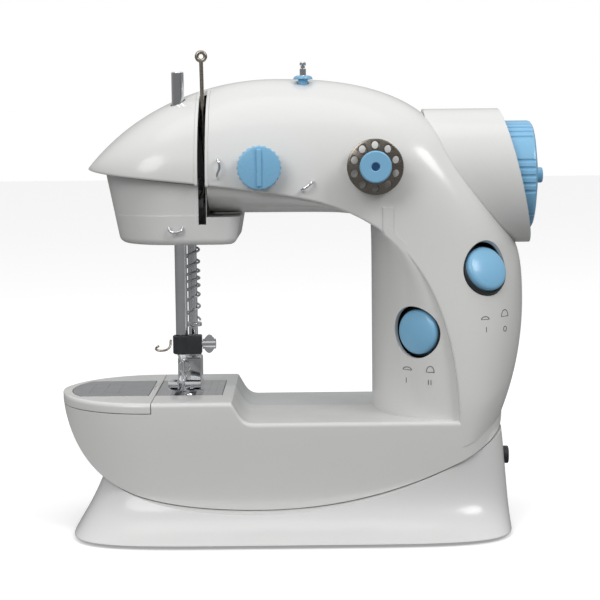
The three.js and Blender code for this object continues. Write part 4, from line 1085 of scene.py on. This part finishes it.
guide = wire(
    [(-54.2, -10, 77), (-54.8, -12, 74), (-57.2, -13, 73), (-60.2, -12, 73.6), (-59.2, -10.5, 74.6)], 0.45)
piece("needle_guide_wire", drawing(guide), "needle", nickel, ["needle_thread_guide"], weld=1e-4)

stem = wire(
    [(-44.5, -14.9, 135), (-40.5, -16.4, 136), (-39, -17, 140), (-39, -17, 160),
     (-39.2, -17, 176), (-39.4, -17, 189.9)], 0.8)
lever = combine(stem, [eye((-39.4, -17, 192), 1.7, 0.8)], "UNION")
piece("take_up_wire", drawing(lever), "needle", nickel, ["take_up_lever"], weld=1e-4)

# %% The presser group
PRESSER = (-45.6, 1.5)
presser_bar = turned(
    [(0, 65), (1.9, 65), (1.9, 81.4), (3.4, 81.4), (3.6, 81.6), (3.6, 82.8), (3.4, 83), (1.9, 83),
     (1.9, 130), (2.7, 130), (2.7, 133), (1.9, 133), (1.9, 161.6), (1.6, 162), (0, 162)],
    (*PRESSER, 0), ALONG_Z, 48)
piece("presser_bar_skin", drawing(presser_bar), "presser", chrome, ["presser_bar"])

SPRING_LOW, SPRING_HIGH = 84.0, 119.1
helix = []
for i in range(8 * 28 + 1):
    turn = math.tau * i / 28
    share = i / (8 * 28)
    settle = share + 0.055 * math.sin(math.tau * share)
    helix.append((
        PRESSER[0] + 2.9 * math.cos(turn), PRESSER[1] + 2.9 * math.sin(turn),
        SPRING_LOW + (SPRING_HIGH - SPRING_LOW) * settle))
spring = piece(
    "presser_coil", drawing(wire(helix, 0.45, straight=True)), "machine", steel,
    ["presser_spring"], weld=1e-4)
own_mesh(spring)

curl = [(-13.8 + 19.3 * i / 10, 56.9) for i in range(10, -1, -1)]
curl += [(-13.8 - 6.6 * math.sin(t), 63.5 - 6.6 * math.cos(t)) for t in (0.25, 0.5, 0.75, 1.0, 1.2)]
curl += [(-13.8 - 5.2 * math.sin(t), 63.5 - 5.2 * math.cos(t)) for t in (1.2, 1.0, 0.75, 0.5, 0.25)]
curl += [(-13.8 + 19.3 * i / 10, 58.3) for i in range(11)]
sole = combine(prism(curl, (-54.8, -41.6), "X"), [
    block((-51.1, -47.9), (-30, -7), (50, 66)),
    rod((-60, -21.6, 56), (-60, -21.6, 70), 5.0, 48),
    rod((-49.5, -7, 50), (-49.5, -7, 60), 1.6, 32),
], "DIFFERENCE")
ankle = combine(rounded_block((-51.9, -42), (-4.5, 5.5), (57.5, 69), 0.7), [
    rod((*PRESSER, 64.5), (*PRESSER, 90), 2.2), rod((-49.1, -20, 65.2), (-49.1, -0.5, 65.2), 1.5),
], "DIFFERENCE")
foot = combine(sole, [ankle], "UNION")
piece("presser_foot_skin", drawing(foot), "presser", chrome, ["presser_foot"], 30)

screw = turned(
    [(0, -5.8), (2.3, -5.8), (2.6, -5.5), (2.6, -4.8), (1.2, -4.8), (1.2, -1.5), (0, -1.5)],
    (-49.1, 0, 65.2), ALONG_Y, 40)
screw = combine(screw, [block((-52, -46), (-6, -5.4), (64.9, 65.5))], "DIFFERENCE")
piece("foot_screw_skin", drawing(screw), "foot_screw", chrome, ["foot_screw"])

lift = combine(rod((-57.5, 0, 127), (-57.5, 34.5, 127), 2), [
    rounded_block((-57.5, -48), (0, 3), (126.4, 129.4), 0.4),
    rounded_block((-60, -42.5), (31, 34), (124.5, 129.5), 0.6),
    turned([(0, 31), (3.2, 31), (3.5, 31.3), (3.5, 33.7), (3.2, 34), (0, 34)],
           (-42.5, 0, 127), ALONG_Y, 48)], "UNION")
piece("lifter_lever", drawing(lift), "lifter", steel, ["presser_lifter"])
print("needle and presser parts done")

# %% [markdown]
# ## The thread path
#
# The tension dial is a ribbed knob with a raised ridge across it, over a bright
# disc. Beside it sits a bobbin with ten holes in its flange, held by a blue hub
# with a hole in its middle. A spool pin in a small blue base stands on the arm.

# %% Dial, bobbin, guides and spool pin
outline = []
for i in range(288):
    turn = math.tau * i / 288
    reach = 8.5 + 0.25 * math.cos(24 * turn)
    outline.append((DIAL_X + reach * math.cos(turn), DIAL_Z + reach * math.sin(turn)))
knob = combine(prism(outline, (-43.7, -38.2)), [turned(
    [(0, -43.7), (7.6, -43.7), (8.2, -43.5), (8.6, -43), (8.9, -42.3), (8.9, -38.2), (0, -38.2)],
    (DIAL_X, 0, DIAL_Z), ALONG_Y, 96)], "INTERSECT")
knob = combine(knob, [rounded_block(
    (DIAL_X - 1, DIAL_X + 1), (-44.7, -42), (DIAL_Z - 7.2, DIAL_Z + 7.2), 0.45)], "UNION")
knob = combine(knob, [rod((DIAL_X, -41.7, DIAL_Z), (DIAL_X, -37, DIAL_Z), 5)], "DIFFERENCE")
piece("tension_knob", drawing(knob), "dial", trim_blue, ["tension_dial"], 28, 1e-3)
disc = turned(
    [(1.9, -36.2), (7.2, -36.7), (7.5, -36.9), (7.2, -37.2), (1.9, -37.8)],
    (DIAL_X, 0, DIAL_Z), ALONG_Y, 72)
piece("tension_washer", drawing(disc), "machine", chrome, ["tension_disc"])

reel = turned(
    [(3, -46.5), (10.4, -46.5), (10.8, -46.3), (10.8, -45.8), (10.4, -45.6), (4.4, -45.6), (4.4, -38.4),
     (10.4, -38.4), (10.8, -38.2), (10.8, -37.7), (10.4, -37.5), (3, -37.5)],
    (REEL_X, 0, DIAL_Z), ALONG_Y, 96)
for i in range(10):
    turn = i * math.tau / 10 + math.pi / 2
    x, z = REEL_X + 8.4 * math.cos(turn), DIAL_Z + 8.4 * math.sin(turn)
    reel = combine(reel, [rod((x, -48, z), (x, -36, z), 1.5, 32)], "DIFFERENCE")
piece("bobbin_reel", drawing(reel), "bobbin", reel_metal, ["front_bobbin"], 30)
hub = turned(
    [(1.6, -47.6), (1.9, -47.9), (5.7, -47.9), (6.2, -47.5), (6.2, -46.8), (2.7, -46.8), (2.7, -37),
     (2.1, -36.8), (2.1, -30), (0, -30), (0, -43), (1.6, -43)],
    (REEL_X, 0, DIAL_Z), ALONG_Y, 72)
piece("bobbin_cap", drawing(hub), "bobbin", trim_blue, ["bobbin_hub"])

GUIDES = {
    "thread_guide_left": ([(-32.3, -35, 151), (-32.3, -38, 151), (-31.6, -38.6, 148.5),
                           (-32.6, -38, 145), (-32.4, -36.2, 143.6)], 0.55),
    "thread_guide_right": ([(4.6, -35.6, 142.4), (4.4, -38.2, 142), (2.6, -39, 140.4),
                            (0.4, -38.4, 139), (0.6, -36.4, 138.8)], 0.55),
    "head_eyelet": ([(-52.2, -33, 124.6), (-51.6, -34.2, 123.2), (-49.5, -34.6, 122.6),
                     (-47.4, -34.2, 123.2), (-46.8, -33, 124.6)], 0.6),
}
for name, (points, radius) in GUIDES.items():
    piece(f"{name}_wire", drawing(wire(points, radius)), "machine", chrome, [name], weld=1e-4)

pin = turned(
    [(0, 152), (1.3, 152), (1.3, 187), (0.9, 187.4), (0.9, 188.2), (1.3, 188.6), (1.25, 189.5),
     (0.8, 189.95), (0, 190)], (1.3, -8, 0), ALONG_Z, 40)
piece("spool_pin_skin", drawing(pin), "spool", chrome, ["spool_pin"])
base = turned(
    [(1.55, 177), (2, 177), (2, 182.9), (3.9, 182.9), (3.9, 183.3), (3.5, 184), (2.6, 184.4), (1.55, 184.4)],
    (1.3, -8, 0), ALONG_Z, 48)
piece("spool_pin_base", drawing(base), "machine", trim_blue, ["spool_base"])
print("thread path done")

# %% [markdown]
# ## Buttons, their rings, and the power inlet
#
# Each button is a shallow dome in a thin black ring. The dome's edge is rounded
# so that it shows a bright rim. The inlet is a small barrel socket in the side.

# %% Buttons and inlet
for name, (centre, normal) in BUTTONS.items():
    dome = turned(
        [(0, -4.5), (9, -4.5), (9, 1.2), (8.85, 1.8), (8.4, 2.3),
         (7.6, 2.6), (5.5, 3.1), (3, 3.45), (0, 3.6)],
        centre, normal, 96)
    piece(f"{name}_cap", drawing(dome), name, trim_blue, [f"{name}_button"])
    ring = turned(
        [(2, -8.7), (10.2, -8.7), (10.2, -0.9), (9.95, 0.05), (9.6, 0.4), (9.35, 0.3), (9.25, 0),
         (9.25, -7.3), (2, -7.3)], centre, normal, 96)
    piece(f"{name}_ring", drawing(ring), "machine", charcoal, [f"{name}_bezel"])

inlet = turned(
    [(0, 0), (3, 0), (3, 6), (3.6, 6), (3.6, 10.2), (3.3, 10.5), (2.4, 10.5), (2.2, 10.2),
     (2.2, 4), (0.8, 4), (0.8, 9.8), (0.4, 10.2), (0, 10.2)], (73.5, -16, 29), ALONG_X, 48)
piece("inlet_socket", drawing(inlet), "machine", charcoal, ["power_jack"])

# %% [markdown]
# ## Printed marks
#
# Beside each button are plain marks: a low and a tall dome, and strokes for the
# two positions. They are printed on a curved skin, so each stroke is a thin wire
# whose points are dropped onto the casing with a ray, and sunk almost flush.

# %% Drop the strokes onto the casing
MARK_RADIUS = 0.16
RAY_START_Y = -90
skin = BVHTree.FromObject(front_casing, bpy.context.evaluated_depsgraph_get())


def dropped(points, tree):
    """Points (x, z) moved along Y onto a skin, in millimetres."""
    found = []
    for x, z in points:
        place, *_ = tree.ray_cast(Vector((x, RAY_START_Y, z)) * MM, Vector((0, 1, 0)))
        if place is not None:
            found.append(place / MM)
    return found


def dome_mark(x, z, half, rise):
    turns = [math.pi * i / 16 for i in range(17)]
    return [(x + half * math.cos(t), z + rise * math.sin(t)) for t in turns] + [(x + half, z)]


def stroke(x, z, half=1.0):
    return [(x, z - half), (x, z + half)]


ring_turns = [math.tau * i / 16 for i in range(17)]
ring_mark = [(80.9 + 0.7 * math.cos(t), 82.6 + math.sin(t)) for t in ring_turns]
MARKS = [
    dome_mark(72.3, 87.1, 1.6, 1.1), dome_mark(80.8, 87.6, 1.5, 2.6), stroke(72.7, 83.1), ring_mark,
    dome_mark(41.9, 66.4, 1.6, 1.1), dome_mark(50.6, 66.1, 1.5, 2.4), stroke(41.5, 62.1),
    stroke(49.9, 62.0), stroke(50.9, 62.0),
]
for number, points in enumerate(MARKS, 1):
    places = dropped(points, skin)
    if len(places) > 1:
        piece(f"print_mark_{number}", drawing(wire(places, MARK_RADIUS, straight=True)), "machine",
              ink, weld=1e-4)
print("marks:", len(MARKS))

# %% [markdown]
# ## The works inside
#
# Everything behind the skin keeps its own solid from the frame: the frames,
# shafts, pulleys, belts, hook, motor, switches and the battery box. They only
# need a finish, chosen by what each one is made of.

# %% Finish the inner works
INNER = {
    "steel": steel, "chrome": chrome, "bush_brass": bronze, "belt_rubber": belt_rubber,
    "dark_plastic": charcoal, "base_plastic": base_white, "white_casing": casing_white,
    "head_plastic": head_white, "blue_plastic": trim_blue, "rubber_foot": foot_rubber,
}
shown = [node for node in frame["nodes"].values() if not node.hide_render]
slot_of = {part["node"]: part["material_slot"] for part in frame["record"]["subparts"]}
for node in shown:
    node.data.materials.clear()
    node.data.materials.append(INNER[slot_of[node["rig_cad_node"]]])
print("inner works:", len(shown))

# %% [markdown]
# ## The studio
#
# The machine stands on a plain pale floor in a white studio. Two things make a
# glossy white casing readable there: the light must come mostly from above, so
# that faces that lean down turn grey, and the side of the room behind the camera
# must be darker, so that bright metal shows a dark core. One soft lamp on the
# upper right lays a highlight along the band. Rays that reach the camera
# directly see a clean near-white, while the lighting itself follows a gradient.

# %% Floor
floor_bm = bmesh.new()
bmesh.ops.create_grid(floor_bm, x_segments=8, y_segments=8, size=6)
floor_mesh = bpy.data.meshes.new("floor")
floor_bm.to_mesh(floor_mesh)
floor_bm.free()
floor = bpy.data.objects.new("floor", floor_mesh)
bpy.context.scene.collection.objects.link(floor)
paper = Finish("studio_paper", (0.20, 0.20, 0.20), 0.9)
paper.tint(paper.noise(60, 4), (0.19, 0.19, 0.19), 0.5)
paper.relief(paper.noise(1.5, 3), 0.02)
seen = Field(paper.tree, paper.tree.nodes.new("ShaderNodeLightPath").outputs["Is Camera Ray"])
paper.tint(seen, (0.88, 0.88, 0.88))
paper.shader.inputs["Emission Strength"].default_value = 0.32
seen.into(paper.shader.inputs["Emission Color"])
floor.data.materials.append(paper.material)
floor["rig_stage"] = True

# %% World light
world = bpy.data.worlds.new("studio")
bpy.context.scene.world = world
world.use_nodes = True
sky = world.node_tree
sky.nodes.clear()
direction = sky.nodes.new("ShaderNodeTexCoord").outputs["Generated"]
parts = sky.nodes.new("ShaderNodeSeparateXYZ")
sky.links.new(direction, parts.inputs[0])
height = Field(sky, parts.outputs["Z"])
depth = Field(sky, parts.outputs["Y"])
glow = sky.nodes.new("ShaderNodeBackground")
glow.inputs["Color"].default_value = (1.0, 1.0, 1.0, 1)
strength = 0.20 + height.above(0.5, 1.0) * 0.62 + depth.above(0.1, 1.2) * 0.10
strength.into(glow.inputs["Strength"])
backdrop = sky.nodes.new("ShaderNodeBackground")
backdrop.inputs["Color"].default_value = (1, 1, 1, 1)
backdrop.inputs["Strength"].default_value = 1.0
ray = sky.nodes.new("ShaderNodeLightPath")
choice = sky.nodes.new("ShaderNodeMixShader")
out = sky.nodes.new("ShaderNodeOutputWorld")
sky.links.new(ray.outputs["Is Camera Ray"], choice.inputs[0])
sky.links.new(glow.outputs[0], choice.inputs[1])
sky.links.new(backdrop.outputs[0], choice.inputs[2])
sky.links.new(choice.outputs[0], out.inputs[0])


# %% Lamps
def lamp(name, place, target, size, power):
    light = bpy.data.lights.new(name, "AREA")
    light.shape = "DISK"
    light.size = size
    light.energy = power
    made = bpy.data.objects.new(name, light)
    made.location = place
    made.rotation_euler = (Vector(target) - Vector(place)).to_track_quat("-Z", "Y").to_euler()
    bpy.context.scene.collection.objects.link(made)


lamp("key_softbox", (0.75, -0.75, 0.95), (0.02, 0, 0.1), 0.45, 4.2)
lamp("front_softbox", (-0.55, -1.05, 0.75), (-0.02, 0, 0.1), 0.7, 4.6)
lamp("top_softbox", (-0.1, -0.1, 1.2), (0, 0, 0.1), 0.8, 1.3)

# %% [markdown]
# ## Camera
#
# The camera looks at the machine from the front, a little above the bed and
# tilted down by almost six degrees, with a long lens close to the object.

# %% Place the camera
lens = bpy.data.cameras.new("studio_camera")
lens.sensor_width = 36
lens.lens = 93.96
lens.shift_x = -0.0017
lens.clip_start = 0.01
camera = bpy.data.objects.new("studio_camera", lens)
tilt = Matrix.Rotation(math.radians(84.2), 4, "X")
roll = Matrix.Rotation(math.radians(-0.6), 4, "Z")
camera.matrix_world = Matrix.Translation((-0.0004, -0.650, 0.158)) @ tilt @ roll
bpy.context.scene.collection.objects.link(camera)
bpy.context.scene.camera = camera
bpy.context.scene.view_settings.view_transform = "Standard"

# %% [markdown]
# ## Measure the finished skin and the frame
#
# Both boxes are measured, the frame's before anything was drawn and the skin's at
# the end, and both are printed. The skin has to stay inside the box of the frame
# that it covers.

# %% Sizes, and the end
visual_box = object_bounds()
sizes = {
    "frame": [[round(value, 6) for value in corner] for corner in cad_box],
    "visual": [[round(value, 6) for value in corner] for corner in visual_box],
}
print("frame box ", sizes["frame"])
print("visual box", sizes["visual"])
